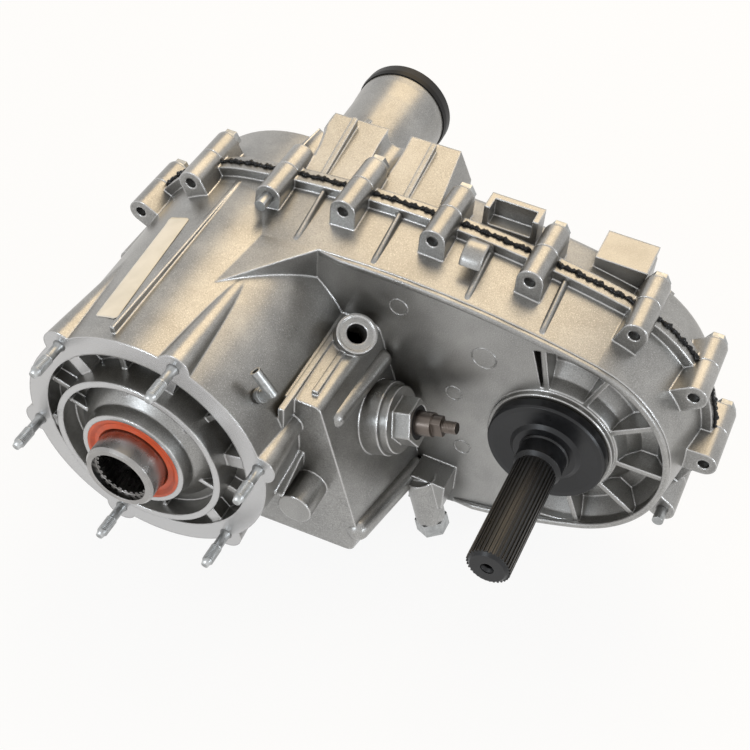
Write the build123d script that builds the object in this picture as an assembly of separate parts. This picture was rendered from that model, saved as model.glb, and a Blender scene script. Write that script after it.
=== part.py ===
from build123d import *
import math
import os

# A two-speed, part-time transfer case for a truck, in millimetres.
# The origin is on the main shaft's axis, in the plane of the front mounting flange.
# Y runs rearward along both shafts, X runs from the main shaft to the front output, Z is up.

# Chain drive: the two shafts' distance follows from the chain.
CHAIN_PITCH = 9.525
CHAIN_LINKS = 86
SPROCKET_TEETH = 36
CHAIN_WIDTH = 36.0
CHAIN_MID_Y = 175.0
LINK_BACK = 3.0            # plate height outside the pitch line
LINK_TOE = 4.6             # toe height inside the pitch line
DROP = (CHAIN_LINKS - SPROCKET_TEETH) * CHAIN_PITCH / 2
CHAIN_R = CHAIN_PITCH * SPROCKET_TEETH / (2 * math.pi)

# Clearances between pieces.
RUN = 0.05                 # radial running fit of a shaft in its hole
GAP = 0.3                  # free air between pieces that only come close
FACE_GAP = 0.35            # end float between turning faces

# Case halves.
WALL = 5.0
SEAM_Y = 180.0
SEAM_GAP = 0.4             # sealant thickness between the halves
FACE_Y = 128.0             # front face of the chain chamber
CASE_R_A = 95.0            # round the main shaft, at the seam
CASE_R_B = 90.0            # round the front output, at the seam
ARCH_TOP_R = 695.0
ARCH_LOW_R = 410.0
DRAFT_IN = 8.0             # how far the walls lean in at the front face
LIP = 7.0                  # flange lip outside the wall
LIP_T = 7.0                # lip thickness in each half
ROOF_Y = 45.0              # where the roof's slanted edge starts
ROOF_X = -10.0
ROOF_END_X = 60.0

# Seam screws and their lugs.
SCREW_D = 8.0
LUG_R = 9.0
LUG_OUT = 9.0              # screw axis outside the wall
LUG_FRONT_Y = 151.0
LUG_BACK_Y = 203.0
LUG_ANGLES_A = (151.7, 118.0, 84.0, 182.0, 214.0, 246.0, 274.0)
LUG_TOP_X = (66.0, 130.0, 198.0)
LUG_ANGLES_B = (71.0, 37.0, 2.5, -33.0, -66.0)
LUG_LOW_X = (58.0, 118.0, 182.0)
HEX_AF = 13.0
HEAD_T = 7.0
DOWEL_D = 8.0
DOWEL_OUT = 11.0

# Front flange and its studs.
STUD_PCD = 172.0
STUD_COUNT = 6
STUD_FIRST = 13.0          # degrees from +X
STUD_D = 8.0
STUD_OUT = 29.0
STUD_IN = 16.0
EAR_R = 11.5
BARREL_R = 89.0
RING_IN_R = 75.0
PILOT_R = 56.6             # inside of the pilot ring
PILOT_T = 4.4
PILOT_OUT = 10.0
SEAL_BOSS_R = 37.3
SEAL_FACE_Y = -15.7
WEB_Y = 14.0
WEB_T = 6.0

# Input gear, seal and bearing.
HUB_R = 25.0
HUB_Y = -33.2
HUB_BORE_R = 17.8
HUB_MOUTH_R = 20.0         # plain counterbore ahead of the splines
HUB_MOUTH_DEEP = 5.0
SPLINE_IN_TEETH = 27
SPLINE_DEPTH = 1.6
SEAL_R = 34.0
SEAL_W = 11.0
INPUT_BRG_R = 45.0
INPUT_BRG_W = 20.0
INPUT_BRG_Y = 3.0

# Planetary set: low range is 1 + ring / sun = 2.72.
MODULE = 1.6
SUN_TEETH = 50
RING_TEETH = 86
PLANET_TEETH = (RING_TEETH - SUN_TEETH) // 2
PLANETS = 4
PRESSURE = math.radians(20)
BACKLASH = 0.3
GEAR_Y = 33.0
GEAR_W = 28.0
RING_R = 79.0
PIN_R = 5.5
CARRIER_T = 5.0
CARRIER_REAR_T = 10.0
CARRIER_R = 72.0

# Main shaft and what rides on it.
NOSE_R = 12.0
MAIN_R = 19.0
HUB_SEAT_R = 22.0
JOURNAL_R = 24.0
REAR_SEAT_R = 20.0
TAIL_SHAFT_R = 17.5
TAIL_SHAFT_Y = 396.0
TAIL_SPLINES = 32
RANGE_TRAVEL = 16.0
RANGE_Y = 48.0
MODE_TRAVEL = 12.0
MODE_Y = 122.0
MODE_W = 34.0
MODE_R = 38.0
MODE_SLEEVE_R = 46.0

# Rear case, bearing and tail.
REAR_Y = 246.0
REAR_B_Y = 228.0
REAR_BRG_R = 40.0
REAR_BRG_W = 18.0
TAIL_END_Y = 417.0
TAIL_R = 39.0
TAIL_BORE_R = 27.0
BUSH_R = 24.0
BOOT_R = 40.0
BOOT_Y = 429.0

# Front output shaft.
OUT_R = 14.8
OUT_Y = 9.5
OUT_SPLINES = 32
OUT_SPLINE_END = 96.0
OUT_COLLAR_R = 16.6
OUT_SEAT_R = 17.5
OUT_BRG_R = 36.0
OUT_BRG_W = 17.0
OUT_BRG_Y = 134.0
OUT_SEAL_R = 31.0
OUT_SEAL_W = 8.5
OUT_BOSS_R = 44.0
SLINGER_R = 41.8
SLINGER_Y = 115.0
SLINGER_W = 7.0
OUT_NEEDLE_R = 18.0

# Shift mechanism.
TILT = 17.0                # how far the case is rolled from its place in the vehicle
RAIL_X = 100.0
RAIL_Z = -34.0
RAIL_R = 7.5
RAIL_Y0 = 37.0
RAIL_Y1 = 231.0
SECTOR_AT = (138.0, 100.0, -4.0)
SECTOR_SHAFT_R = 8.5
NUT_AF = 30.0
NUT_FLANGE_R = 23.5
SECTOR_SEAL_R = 12.0
SHAFT_END = 44.0

COS_T = math.cos(math.radians(TILT))
SIN_T = math.sin(math.radians(TILT))


# Helpers that place and shape simple solids.
def station(y, x=0.0, z=0.0):
    """A sketch plane square to the shafts: its x is X and its y is Z."""
    return Plane(origin=(x, y, z), x_dir=(1, 0, 0), z_dir=(0, -1, 0))


def slab(outline, y0, y1, x=0.0, z=0.0):
    """A flat outline in X and Z, made solid from y0 back to y1."""
    return extrude(station(y1, x, z) * outline, amount=y1 - y0)


def rod(r, y0, y1, x=0.0, z=0.0):
    """A round bar along Y."""
    return Location((x, (y0 + y1) / 2, z), (90, 0, 0)) * Cylinder(r, y1 - y0)


def tube(r0, r1, y0, y1, x=0.0, z=0.0):
    """A ring along Y with bore r0 and outside r1."""
    return rod(r1, y0, y1, x, z) - rod(r0, y0 - 1, y1 + 1, x, z)


def turned(points, x=0.0, z=0.0):
    """A closed profile of (radius, y) points, turned about a shaft's axis."""
    face = make_face(Polyline(*points, close=True))
    return Pos(x, 0, z) * revolve(face, Axis.Y)


def polar(r, angle, x=0.0, z=0.0):
    """The X and Z of a point at a radius and an angle in degrees from +X."""
    return (x + r * math.cos(math.radians(angle)), z + r * math.sin(math.radians(angle)))


def block(x0, x1, y0, y1, z0, z1):
    """A box given by its six faces."""
    return Pos((x0 + x1) / 2, (y0 + y1) / 2, (z0 + z1) / 2) * Box(x1 - x0, y1 - y0, z1 - z0)


def skin(front, y0, back, y1):
    """Straight walls between one outline at y0 and a like outline at y1."""
    return loft([station(y0) * front, station(y1) * back], ruled=True)


def shift_bar(r, t0, t1, radius_to=None):
    """A round bar along the shift shaft's axis, from t0 out to t1."""
    mid = (t0 + t1) / 2
    at = (SECTOR_AT[0] + mid * COS_T, SECTOR_AT[1], SECTOR_AT[2] + mid * SIN_T)
    body = Cylinder(r, t1 - t0) if radius_to is None else Cone(r, radius_to, t1 - t0)
    return Plane(origin=at, x_dir=(0, 1, 0), z_dir=(COS_T, 0, SIN_T)) * body


def shift_plane(t):
    """A sketch plane square to the shift shaft: its x is Y, its y points down and inward."""
    at = (SECTOR_AT[0] + t * COS_T, SECTOR_AT[1], SECTOR_AT[2] + t * SIN_T)
    return Plane(origin=at, x_dir=(0, 1, 0), z_dir=(COS_T, 0, SIN_T))


# Outlines that several pieces share.
def arch(radius, ra, rb, side):
    """Where a long arc touches the two round ends, and its middle point."""
    cx = (DROP ** 2 + (radius - ra) ** 2 - (radius - rb) ** 2) / (2 * DROP)
    cz = -side * math.sqrt((radius - ra) ** 2 - cx ** 2)
    from_a = (-cx / (radius - ra), -cz / (radius - ra))
    from_b = ((DROP - cx) / (radius - rb), -cz / (radius - rb))
    touch_a = (ra * from_a[0], ra * from_a[1])
    touch_b = (DROP + rb * from_b[0], rb * from_b[1])
    return touch_a, (cx, cz + side * radius), touch_b


def arch_point(radius, grow, side, x):
    """A point at x on the long arc, moved out by grow."""
    r0 = radius - CASE_R_A
    r1 = radius - CASE_R_B
    cx = (DROP ** 2 + r0 ** 2 - r1 ** 2) / (2 * DROP)
    cz = -side * math.sqrt(r0 ** 2 - cx ** 2)
    return (x, cz + side * math.sqrt((radius + grow) ** 2 - (x - cx) ** 2))


def case_outline(grow):
    """The case seen along the shafts: round each shaft, joined by two flat arches."""
    ra = CASE_R_A + grow
    rb = CASE_R_B + grow
    top = arch(ARCH_TOP_R + grow, ra, rb, 1)
    low = arch(ARCH_LOW_R + grow, ra, rb, -1)
    edges = [
        ThreePointArc(top[0], top[1], top[2]),
        ThreePointArc(top[2], (DROP + rb, 0), low[2]),
        ThreePointArc(low[2], low[1], low[0]),
        ThreePointArc(low[0], (-ra, 0), top[0]),
    ]
    return make_face(edges)


def lug_places():
    """Each seam screw's X and Z, and the direction in degrees that its lug points out."""
    places = []
    for angle in LUG_ANGLES_A:
        places.append((*polar(CASE_R_A + LUG_OUT, angle), angle))
    for x in LUG_TOP_X:
        places.append((*arch_point(ARCH_TOP_R, LUG_OUT, 1, x), 90.0))
    for angle in LUG_ANGLES_B:
        places.append((*polar(CASE_R_B + LUG_OUT, angle, DROP), angle))
    for x in LUG_LOW_X:
        places.append((*arch_point(ARCH_LOW_R, LUG_OUT, -1, x), 270.0))
    return places


DOWEL_AT = (2, 13)         # the lugs that hold a dowel instead of a screw


def lug(x, z, angle, y0, y1):
    """One screw lug: round outside, with a straight foot that runs into the wall."""
    foot = Location((x, 0, z)) * Rot(0, -angle, 0) * block(-LUG_OUT - 5, 0, y0, y1, -LUG_R, LUG_R)
    return rod(LUG_R, y0, y1, x, z) + foot


def gear_outline(teeth, tip, root, turn=0.0):
    """An outside gear's outline: each flank is the chord of its involute."""
    pitch_r = MODULE * teeth / 2
    base = pitch_r * math.cos(PRESSURE)

    def half(r):
        angle = math.acos(min(1.0, base / r))
        thick = math.pi / teeth - BACKLASH / 2 / pitch_r
        return thick / 2 + (math.tan(PRESSURE) - PRESSURE) - (math.tan(angle) - angle)

    points = []
    for k in range(teeth):
        mid = 2 * math.pi * k / teeth + math.radians(turn)
        for r, a in ((root, -half(root)), (tip, -half(tip)), (tip, half(tip)), (root, half(root))):
            points.append((r * math.cos(mid + a), r * math.sin(mid + a)))
    return make_face(Polyline(*points, close=True))


def spline_outline(teeth, outer, inner):
    """A shaft's or bore's straight-sided splines."""
    points = []
    step = 360 / teeth
    for k in range(teeth):
        for r, part in ((inner, -0.27), (outer, -0.18), (outer, 0.18), (inner, 0.27)):
            points.append(polar(r, (k + part) * step))
    return make_face(Polyline(*points, close=True))


def hexagon(across_flats):
    return RegularPolygon(across_flats / math.sqrt(3), 6)


# Front half of the case.
def stud_places():
    return [polar(STUD_PCD / 2, STUD_FIRST + k * 360 / STUD_COUNT) for k in range(STUD_COUNT)]


BOX_FRONT_Y = 45.0
BOX_FRONT = [(40, 43), (104, 43), (138, -72), (134, -90), (40, -94), (10, -80), (10, 20)]
BOX_BACK = [(40, 47), (107, 47), (150, -74), (145, -98), (40, -98), (10, -84), (10, 24)]


def box_face(points, inset):
    """The shift housing's outline, with rounded corners, drawn in by a wall."""
    face = make_face(Polyline(*points, close=True))
    face = fillet(face.vertices(), 7)
    return offset(face, -inset, kind=Kind.INTERSECTION) if inset else face


def slant(shift):
    """What lies ahead of the roof's slanted front edge."""
    run = FACE_Y - ROOF_Y
    x0, x1 = ROOF_X, ROOF_END_X
    back = FACE_Y + shift
    side = [(x0 - run, ROOF_Y - run * run / (x1 - x0) + shift), (x1, back), (400, back), (400, -200), (x0 - run, -200)]
    return extrude(Plane.XY.offset(-200) * make_face(Polyline(*side, close=True)), amount=400)


def front_case():
    lean = case_outline(-DRAFT_IN)
    body = skin(lean, FACE_Y, case_outline(0), SEAM_Y - LIP_T)
    body += slab(case_outline(0), SEAM_Y - LIP_T - 0.01, SEAM_Y - SEAM_GAP / 2)
    body += slab(case_outline(LIP), SEAM_Y - LIP_T, SEAM_Y - SEAM_GAP / 2)
    body += slab(lean, ROOF_Y - 10, FACE_Y + 1) - slant(0)
    barrel = [(0, SEAL_FACE_Y), (SEAL_BOSS_R, SEAL_FACE_Y), (SEAL_BOSS_R + 2, -6), (PILOT_R - 6, 5), (PILOT_R, 5),
              (PILOT_R, -PILOT_OUT), (PILOT_R + PILOT_T, -PILOT_OUT), (PILOT_R + PILOT_T, WEB_Y),
              (RING_IN_R, WEB_Y), (RING_IN_R, 0), (BARREL_R, 0), (CASE_R_A - 1, SEAM_Y - LIP_T), (0, SEAM_Y - LIP_T)]
    body += turned(barrel)
    body += skin(box_face(BOX_FRONT, 0), BOX_FRONT_Y, box_face(BOX_BACK, 0), FACE_Y + 3)
    # Stud ears fade into the barrel toward the rear.
    for x, z in stud_places():
        ear = loft([station(0, x, z) * Circle(EAR_R), station(110, x * 0.99, z * 0.99) * Circle(5)], ruled=True)
        body += ear
    # Webs tie the flange ring to the pilot ring.
    for k in range(STUD_COUNT):
        angle = STUD_FIRST + k * 360 / STUD_COUNT
        web = block(PILOT_R + 1, RING_IN_R + 3, 2, WEB_Y + 1, -5, 5)
        rib = block(SEAL_BOSS_R - 1, PILOT_R + 1, -2, 7, -1.6, 1.6)
        thin = block(PILOT_R + 1, RING_IN_R + 3, 5, WEB_Y + 1, -2, 2)
        body += Rot(0, -angle, 0) * web
        body += Rot(0, -angle - 30, 0) * (thin + rib)
    # Seam lugs.
    for x, z, angle in lug_places():
        body += lug(x, z, angle, LUG_FRONT_Y, SEAM_Y - SEAM_GAP / 2)
    body += output_floor()
    body += shift_bar(NUT_FLANGE_R + 2.5, -24, -3)
    body += rod(12, 20, BOX_FRONT_Y + 8, RAIL_X, RAIL_Z)
    body += rod(12, BOX_FRONT_Y, BOX_FRONT_Y + 12, RAIL_X, RAIL_Z)
    body += drain_boss() + port_boss() + case_ribs()
    body -= front_hollow()
    # The shift rail's blind bore, the seam's tapped holes and the shift shaft's bore.
    body += rod(12, 24, BOX_FRONT_Y + 12, RAIL_X, RAIL_Z)
    body -= rod(RAIL_R + RUN, 23, BOX_FRONT_Y + 13, RAIL_X, RAIL_Z)
    for k, (x, z, angle) in enumerate(lug_places()):
        r = DOWEL_D / 2 if k in DOWEL_AT else SCREW_D / 2
        body -= rod(r, LUG_FRONT_Y - 1, SEAM_Y + 1, x, z)
    for x, z in stud_places():
        body -= rod(STUD_D / 2, -1, STUD_IN, x, z)
    body -= shift_bar(15.0, -60, -2)
    body -= port_hole() + drain_hole() + vent_seat()
    return body


def output_floor():
    """The dished floor round the front output, its bearing boss and the radial ribs."""
    boss = rod(OUT_BOSS_R, SLINGER_Y + SLINGER_W + 1.5, OUT_BRG_Y + OUT_BRG_W + 2, DROP)
    floor = rod(CASE_R_B - DRAFT_IN, FACE_Y, OUT_BRG_Y + OUT_BRG_W, DROP)
    return boss + floor


def output_recess():
    """What is scooped out in front between the ribs."""
    rim = CASE_R_B - DRAFT_IN - 4
    profile = [(OUT_BOSS_R + 2, 120), (rim, 120), (rim, FACE_Y + 6), (rim - 9, FACE_Y + 17),
               (rim - 20, FACE_Y + 17), (OUT_BOSS_R + 6, FACE_Y + 9), (OUT_BOSS_R + 2, FACE_Y)]
    bowl = turned(profile, DROP)
    fan = [(0, 0)] + [polar(120, a) for a in (-100, -50, 0, 50, 108)]
    bowl = bowl & slab(make_face(Polyline(*fan, close=True)), 110, 160, DROP)
    for k in range(6):
        rib = Pos(DROP, 0, 0) * Rot(0, -(1 + 34 * (k - 2)), 0) * block(OUT_BOSS_R, rim + 1, 100, 160, -1.8, 1.8)
        bowl -= rib
    return bowl


def front_hollow():
    """Everything hollow in the front half, from the seal seat to the chain chamber."""
    rear = SEAM_Y + 5
    bores = [(0, -40), (SEAL_R, -40), (SEAL_R, SEAL_FACE_Y + SEAL_W), (31, SEAL_FACE_Y + SEAL_W),
             (31, INPUT_BRG_Y), (INPUT_BRG_R, INPUT_BRG_Y), (INPUT_BRG_R, INPUT_BRG_Y + INPUT_BRG_W + 4),
             (52, INPUT_BRG_Y + INPUT_BRG_W + 4), (52, WEB_Y + WEB_T), (RING_R - 3, WEB_Y + WEB_T),
             (RING_R - 3, GEAR_Y - 3), (RING_R, GEAR_Y - 3), (RING_R, rear), (0, rear)]
    hollow = turned(bores)
    chamber = skin(case_outline(-DRAFT_IN - WALL), FACE_Y + WALL, case_outline(-WALL), SEAM_Y)
    chamber += slab(case_outline(-WALL), SEAM_Y - 0.01, rear)
    # The chamber starts deeper round the front output, behind its bearing floor.
    deep = OUT_BRG_Y + OUT_BRG_W
    chamber -= rod(CASE_R_B - DRAFT_IN, FACE_Y, deep, DROP)
    hollow += chamber
    roof = slab(case_outline(-DRAFT_IN - WALL), ROOF_Y, FACE_Y + WALL + 1) - slant(WALL * 1.5)
    inner = skin(box_face(BOX_FRONT, WALL), BOX_FRONT_Y + WALL, box_face(BOX_BACK, WALL), FACE_Y + WALL + 4)
    hollow += roof + inner - rod(RING_R + 5, 0, GEAR_Y + GEAR_W + 2)
    # Output side: seal seat, bearing seat and the neck between them.
    seal_y = SLINGER_Y + SLINGER_W + 1.5
    out = [(0, 90), (OUT_SEAL_R, 90), (OUT_SEAL_R, seal_y + OUT_SEAL_W), (27, seal_y + OUT_SEAL_W),
           (27, OUT_BRG_Y), (OUT_BRG_R, OUT_BRG_Y), (OUT_BRG_R, deep + 3), (0, deep + 3)]
    hollow += turned(out, DROP)
    hollow += output_recess()
    return hollow


DRAIN_AT = (160.0, 110.0, -80.0)
DRAIN_LONG = 26.0
DRAIN_R = 7.0
PORT_AT = (101.0, 106.0, 56.0)


def drain_boss():
    """The boss under the sump that takes the drain plug; it points to the road."""
    down = Plane(origin=DRAIN_AT, x_dir=(0, 1, 0), z_dir=(SIN_T, 0, -COS_T))
    boss = down * Pos(0, 0, DRAIN_LONG / 2 - 7) * Cylinder(11, DRAIN_LONG + 14)
    return boss + block(150, 176, DRAIN_AT[1] - 4, FACE_Y + 2, -88, -64)


def drain_hole():
    """The plug's thread and the passage back to the sump."""
    down = Plane(origin=DRAIN_AT, x_dir=(0, 1, 0), z_dir=(SIN_T, 0, -COS_T))
    bore = down * Pos(0, 0, DRAIN_LONG / 2) * Cylinder(DRAIN_R, DRAIN_LONG)
    return bore + rod(6, DRAIN_AT[1], FACE_Y + WALL + 4, DRAIN_AT[0], DRAIN_AT[2])


def port_boss():
    """A raised pad on the housing's shoulder with an open threaded port."""
    up = Plane(origin=PORT_AT, x_dir=(0, 1, 0), z_dir=(0.35, -0.35, 0.87))
    return up * Pos(0, 0, -9) * Cylinder(14, 18)


def port_hole():
    up = Plane(origin=PORT_AT, x_dir=(0, 1, 0), z_dir=(0.35, -0.35, 0.87))
    return up * (Pos(0, 0, -12) * Cylinder(7, 40)) + up * (Pos(0, 0, 9) * Cylinder(12, 19.5))


def wedge(points, thick):
    """A flat gusset: three corners in space, thickened both ways along X."""
    face = make_face(Polyline(*[(y, z) for y, z in points], close=True))
    return extrude(Plane.YZ * face, amount=thick / 2, both=True)


def case_ribs():
    """Cast ribs on the barrel's roof and gussets on the shift housing's front."""
    ribs = Rot(0, -103, 0) * block(60, BARREL_R + 5.5, 6, SEAM_Y - LIP_T, -1.5, 1.5)
    for x in (84.0, 96.0):
        ribs += block(x - 2, x + 2, 30 + (x - 84) * 2, FACE_Y, 30, 47)
    ribs += Pos(78, 0, 14) * wedge([(8, 0), (BOX_FRONT_Y + 2, 0), (BOX_FRONT_Y + 2, 12)], 16)
    ribs += Pos(86, 0, -16) * wedge([(14, -2), (BOX_FRONT_Y + 2, -2), (BOX_FRONT_Y + 2, 12)], 16)
    return ribs


# Rear half of the case.
RAISED_X0 = -4.0
RAISED_X1 = 118.0
RAISED_Z = 117.0


def rear_case():
    y0 = SEAM_Y + SEAM_GAP / 2
    shell = skin(case_outline(0), SEAM_Y + LIP_T - 0.01, case_outline(-6), REAR_B_Y)
    shell = fillet(shell.faces().sort_by(Axis.Y)[-1].edges(), 9)
    body = shell + slab(case_outline(0), y0, SEAM_Y + LIP_T) + slab(case_outline(LIP), y0, SEAM_Y + LIP_T)
    drum = turned([(0, y0), (CASE_R_A, y0), (CASE_R_A, SEAM_Y + LIP_T), (CASE_R_A - 3, REAR_Y - 8),
                   (CASE_R_A - 10, REAR_Y), (0, REAR_Y)])
    body += drum
    low = [(RAISED_X0, 60), (RAISED_X0, 96), (12, 103), (RAISED_X1, 104), (RAISED_X1 + 8, 92), (RAISED_X1 + 8, 40), (40, 20)]
    high = [(RAISED_X0, 60), (RAISED_X0 + 4, 92), (16, RAISED_Z - 2), (RAISED_X1 - 6, RAISED_Z), (RAISED_X1 + 4, 96),
            (RAISED_X1 + 4, 40), (40, 20)]
    body += loft([station(SEAM_Y + LIP_T) * make_face(Polyline(*low, close=True)),
                  station(REAR_Y - 2) * make_face(Polyline(*high, close=True))], ruled=True)
    body += block(226, 262, 204, REAR_B_Y + 6, 70, 100)
    body += rod(31, REAR_B_Y - 2, REAR_B_Y + 7, DROP)
    for x, z, angle in lug_places():
        body += lug(x, z, angle, y0, LUG_BACK_Y)
    body += rear_ribs()
    body -= rear_hollow()
    # Inner bosses: main bearing, front output's rear bearing and the shift rail's rear end.
    body += tube(REAR_BRG_R, REAR_BRG_R + 7, REAR_Y - REAR_BRG_W - 6, REAR_Y - 2)
    body += tube(26, 31.5, 201, REAR_B_Y - 2, DROP)
    body += rod(13, 214, REAR_Y - 4, RAIL_X, RAIL_Z)
    body -= rod(RAIL_R + RUN, 213, RAIL_Y1 + 1, RAIL_X, RAIL_Z)
    body -= rod(REAR_BRG_R, REAR_Y - REAR_BRG_W - 2, REAR_Y + 1)
    for k, (x, z, angle) in enumerate(lug_places()):
        r = DOWEL_D / 2 if k in DOWEL_AT else SCREW_D / 2 + 0.5
        body -= rod(r, y0 - 1, LUG_BACK_Y + 1, x, z)
        body -= rod(HEX_AF * 0.66 + 0.6, LUG_BACK_Y, REAR_Y + 20, x, z)
    for x, z in tail_bolt_places():
        body -= rod(SCREW_D / 2, REAR_Y - 14, REAR_Y + 1, x, z)
    body -= shift_fill_hole()
    return body


def rear_hollow():
    """The rear half's chamber: the chain's bath, the main drum and the rail's pocket."""
    back = REAR_B_Y - 6
    room = skin(case_outline(-WALL), SEAM_Y, case_outline(-6 - WALL), back)
    room += slab(case_outline(-WALL), SEAM_Y - 2, SEAM_Y + 0.01)
    room += rod(CASE_R_A - 10, SEAM_Y, REAR_Y - 6) - block(-200, 200, 100, REAR_Y, 64, 200)
    # The walls of the raised part stay thick where the screws of the tail enter.
    for x, z in tail_bolt_places():
        room -= rod(9, REAR_Y - 18, REAR_Y, x, z)
    return room


FILL_AT = (150.0, 40.0)


def shift_fill_hole():
    """The fill plug's threaded hole, in the rear wall above the oil."""
    return rod(9, REAR_B_Y - 10, REAR_B_Y + 8, FILL_AT[0], FILL_AT[1])


def rear_ribs():
    ribs = rod(14, REAR_B_Y - 2, REAR_B_Y + 5, FILL_AT[0], FILL_AT[1])
    for x in (34.0, 94.0):
        rib = wedge([(SEAM_Y + LIP_T - 1, 100), (SEAM_Y + LIP_T - 1, 106), (REAR_Y - 8, RAISED_Z + 4), (REAR_Y - 8, 100)], 4)
        ribs += Pos(x, 0, 0) * rib
    # A lifting bracket stands on the rear half's top.
    ribs += block(148, 186, 196, 212, 96, 118) - block(152, 182, 195, 207, 104, 119)
    for k in range(5):
        angle = 60 - 30 * k
        fin = block(34, CASE_R_B - 10, REAR_B_Y - 3, REAR_B_Y + 3, -2, 2)
        ribs += Pos(DROP, 0, 0) * Rot(0, -angle, 0) * fin
    return ribs


TAIL_BOLT_R = 58.0


def tail_bolt_places():
    return [polar(TAIL_BOLT_R, 45 + 90 * k) for k in range(4)]


def tail_housing():
    """The tail: a flanged tube that holds the rear bush, the seal and the dust boot."""
    y0 = REAR_Y
    outer = [(0, y0), (52, y0), (52, y0 + 8), (49, y0 + 10), (43, y0 + 44), (TAIL_R - 2.5, y0 + 90),
             (TAIL_R - 1.5, TAIL_END_Y - 30), (TAIL_R, TAIL_END_Y - 12), (TAIL_R, TAIL_END_Y), (0, TAIL_END_Y)]
    body = turned(outer)
    for k, (x, z) in enumerate(tail_bolt_places()):
        body += rod(9.5, y0, y0 + 9, x, z)
        body += Rot(0, -(45 + 90 * k), 0) * block(30, TAIL_BOLT_R, y0, y0 + 9, -9.5, 9.5)
    for angle, end in ((90, 70), (40, 96), (140, 96), (0, 60), (180, 60), (-90, 60), (-45, 80), (-135, 80)):
        fin = make_face(Polyline((0, y0 + 4), (54, y0 + 4), (TAIL_R - 1, TAIL_END_Y - end), (0, TAIL_END_Y - end), close=True))
        body += Rot(0, -angle, 0) * extrude(fin, amount=1.8, both=True)
    inner = [(0, y0 - 1), (REAR_BRG_R - 6, y0 - 1), (REAR_BRG_R - 6, y0 + 10), (TAIL_BORE_R + 3, y0 + 30), (TAIL_BORE_R + 3, 360),
             (TAIL_BORE_R, 362), (TAIL_BORE_R, 392), (TAIL_BORE_R + 1, 394), (TAIL_BORE_R + 1, 404),
             (35, 404), (35, TAIL_END_Y + 1), (0, TAIL_END_Y + 1)]
    body -= turned(inner)
    for x, z in tail_bolt_places():
        body -= rod(SCREW_D / 2 + 0.5, y0 - 1, y0 + 10, x, z) + rod(HEX_AF * 0.66 + 0.6, y0 + 9, y0 + 30, x, z)
    body -= speed_hole()
    return body


SPEED_Y = 300.0
SPEED_R = 7.0


def speed_hole():
    """The speed sensor's hole in the tail's flank."""
    return Pos(-40, SPEED_Y, 0) * Rot(0, 90, 0) * Cylinder(SPEED_R, 44)


def seam_sealant():
    """The sealant between the halves, with the bead that squeezed out along the seam."""
    ring = slab(case_outline(LIP - 0.5) - case_outline(-WALL + 1), SEAM_Y - SEAM_GAP / 2, SEAM_Y + SEAM_GAP / 2)
    bead = slab(case_outline(LIP + 1.5) - case_outline(LIP - 0.5), SEAM_Y - SEAM_GAP / 2, SEAM_Y + SEAM_GAP / 2)
    body = ring + bead
    for x, z, angle in lug_places():
        body -= rod(LUG_R, SEAM_Y - 5, SEAM_Y + 5, x, z)
    return body


# Fasteners of the case.
def hex_screw(x, z, head_y, tip_y, r=SCREW_D / 2, af=HEX_AF):
    """A flanged hex screw along Y with its head at the rear."""
    body = rod(r, tip_y, head_y, x, z) + rod(af * 0.66, head_y, head_y + 1.5, x, z)
    return body + slab(hexagon(af), head_y + 1.5, head_y + HEAD_T, x, z)


def case_bolts():
    bolts = []
    for k, (x, z, angle) in enumerate(lug_places()):
        if k not in DOWEL_AT:
            bolts.append(hex_screw(x, z, LUG_BACK_Y, LUG_FRONT_Y + 6))
    return Compound(children=bolts)


def locating_dowels():
    places = lug_places()
    pins = [rod(DOWEL_D / 2, LUG_FRONT_Y - DOWEL_OUT, LUG_BACK_Y - 4, places[k][0], places[k][1]) for k in DOWEL_AT]
    return Compound(children=pins)


def tail_bolts():
    return Compound(children=[hex_screw(x, z, REAR_Y + 9, REAR_Y - 12) for x, z in tail_bolt_places()])


def mounting_studs():
    """Six studs of the front flange: threaded ends and a plain waist."""
    r = STUD_D / 2
    y = -STUD_OUT
    profile = [(0, y), (r - 1.4, y), (r - 1.0, y + 3), (r, y + 4), (r, y + 16), (r - 0.6, y + 17), (r - 0.6, -2),
               (r, -1), (r, STUD_IN - 1), (0, STUD_IN - 1)]
    return Compound(children=[Pos(x, 0, z) * turned(profile) for x, z in stud_places()])


# Input side.
def input_gear():
    """Hub, internal spline, sun gear and the clutch teeth of the high range in one forging."""
    sun_root = MODULE * (SUN_TEETH / 2 - 1.2)
    sun_tip = MODULE * (SUN_TEETH / 2 + 0.9)
    brg_end = INPUT_BRG_Y + INPUT_BRG_W
    outer = [(0, HUB_Y), (HUB_R - 1.5, HUB_Y), (HUB_R, HUB_Y + 2), (HUB_R, brg_end),
             (31, brg_end), (31, GEAR_Y), (sun_root - 1, GEAR_Y), (sun_root - 1, GEAR_Y + GEAR_W), (0, GEAR_Y + GEAR_W)]
    body = turned(outer)
    body += slab(gear_outline(SUN_TEETH, sun_tip, sun_root), GEAR_Y, GEAR_Y + GEAR_W)
    bore = spline_outline(SPLINE_IN_TEETH, HUB_BORE_R + SPLINE_DEPTH, HUB_BORE_R)
    body -= slab(bore, HUB_Y - 1, 20)
    body -= rod(HUB_MOUTH_R, HUB_Y - 1, HUB_Y + HUB_MOUTH_DEEP)
    body -= turned([(0, 19), (HUB_BORE_R + 2, 19), (HUB_BORE_R + 2, 26), (16, 27), (16, 46), (31, 46),
                    (31, GEAR_Y + GEAR_W + 1), (0, GEAR_Y + GEAR_W + 1)])
    return body


def input_seal():
    return seal(HUB_R, SEAL_R, SEAL_FACE_Y, SEAL_FACE_Y + SEAL_W)


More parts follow.
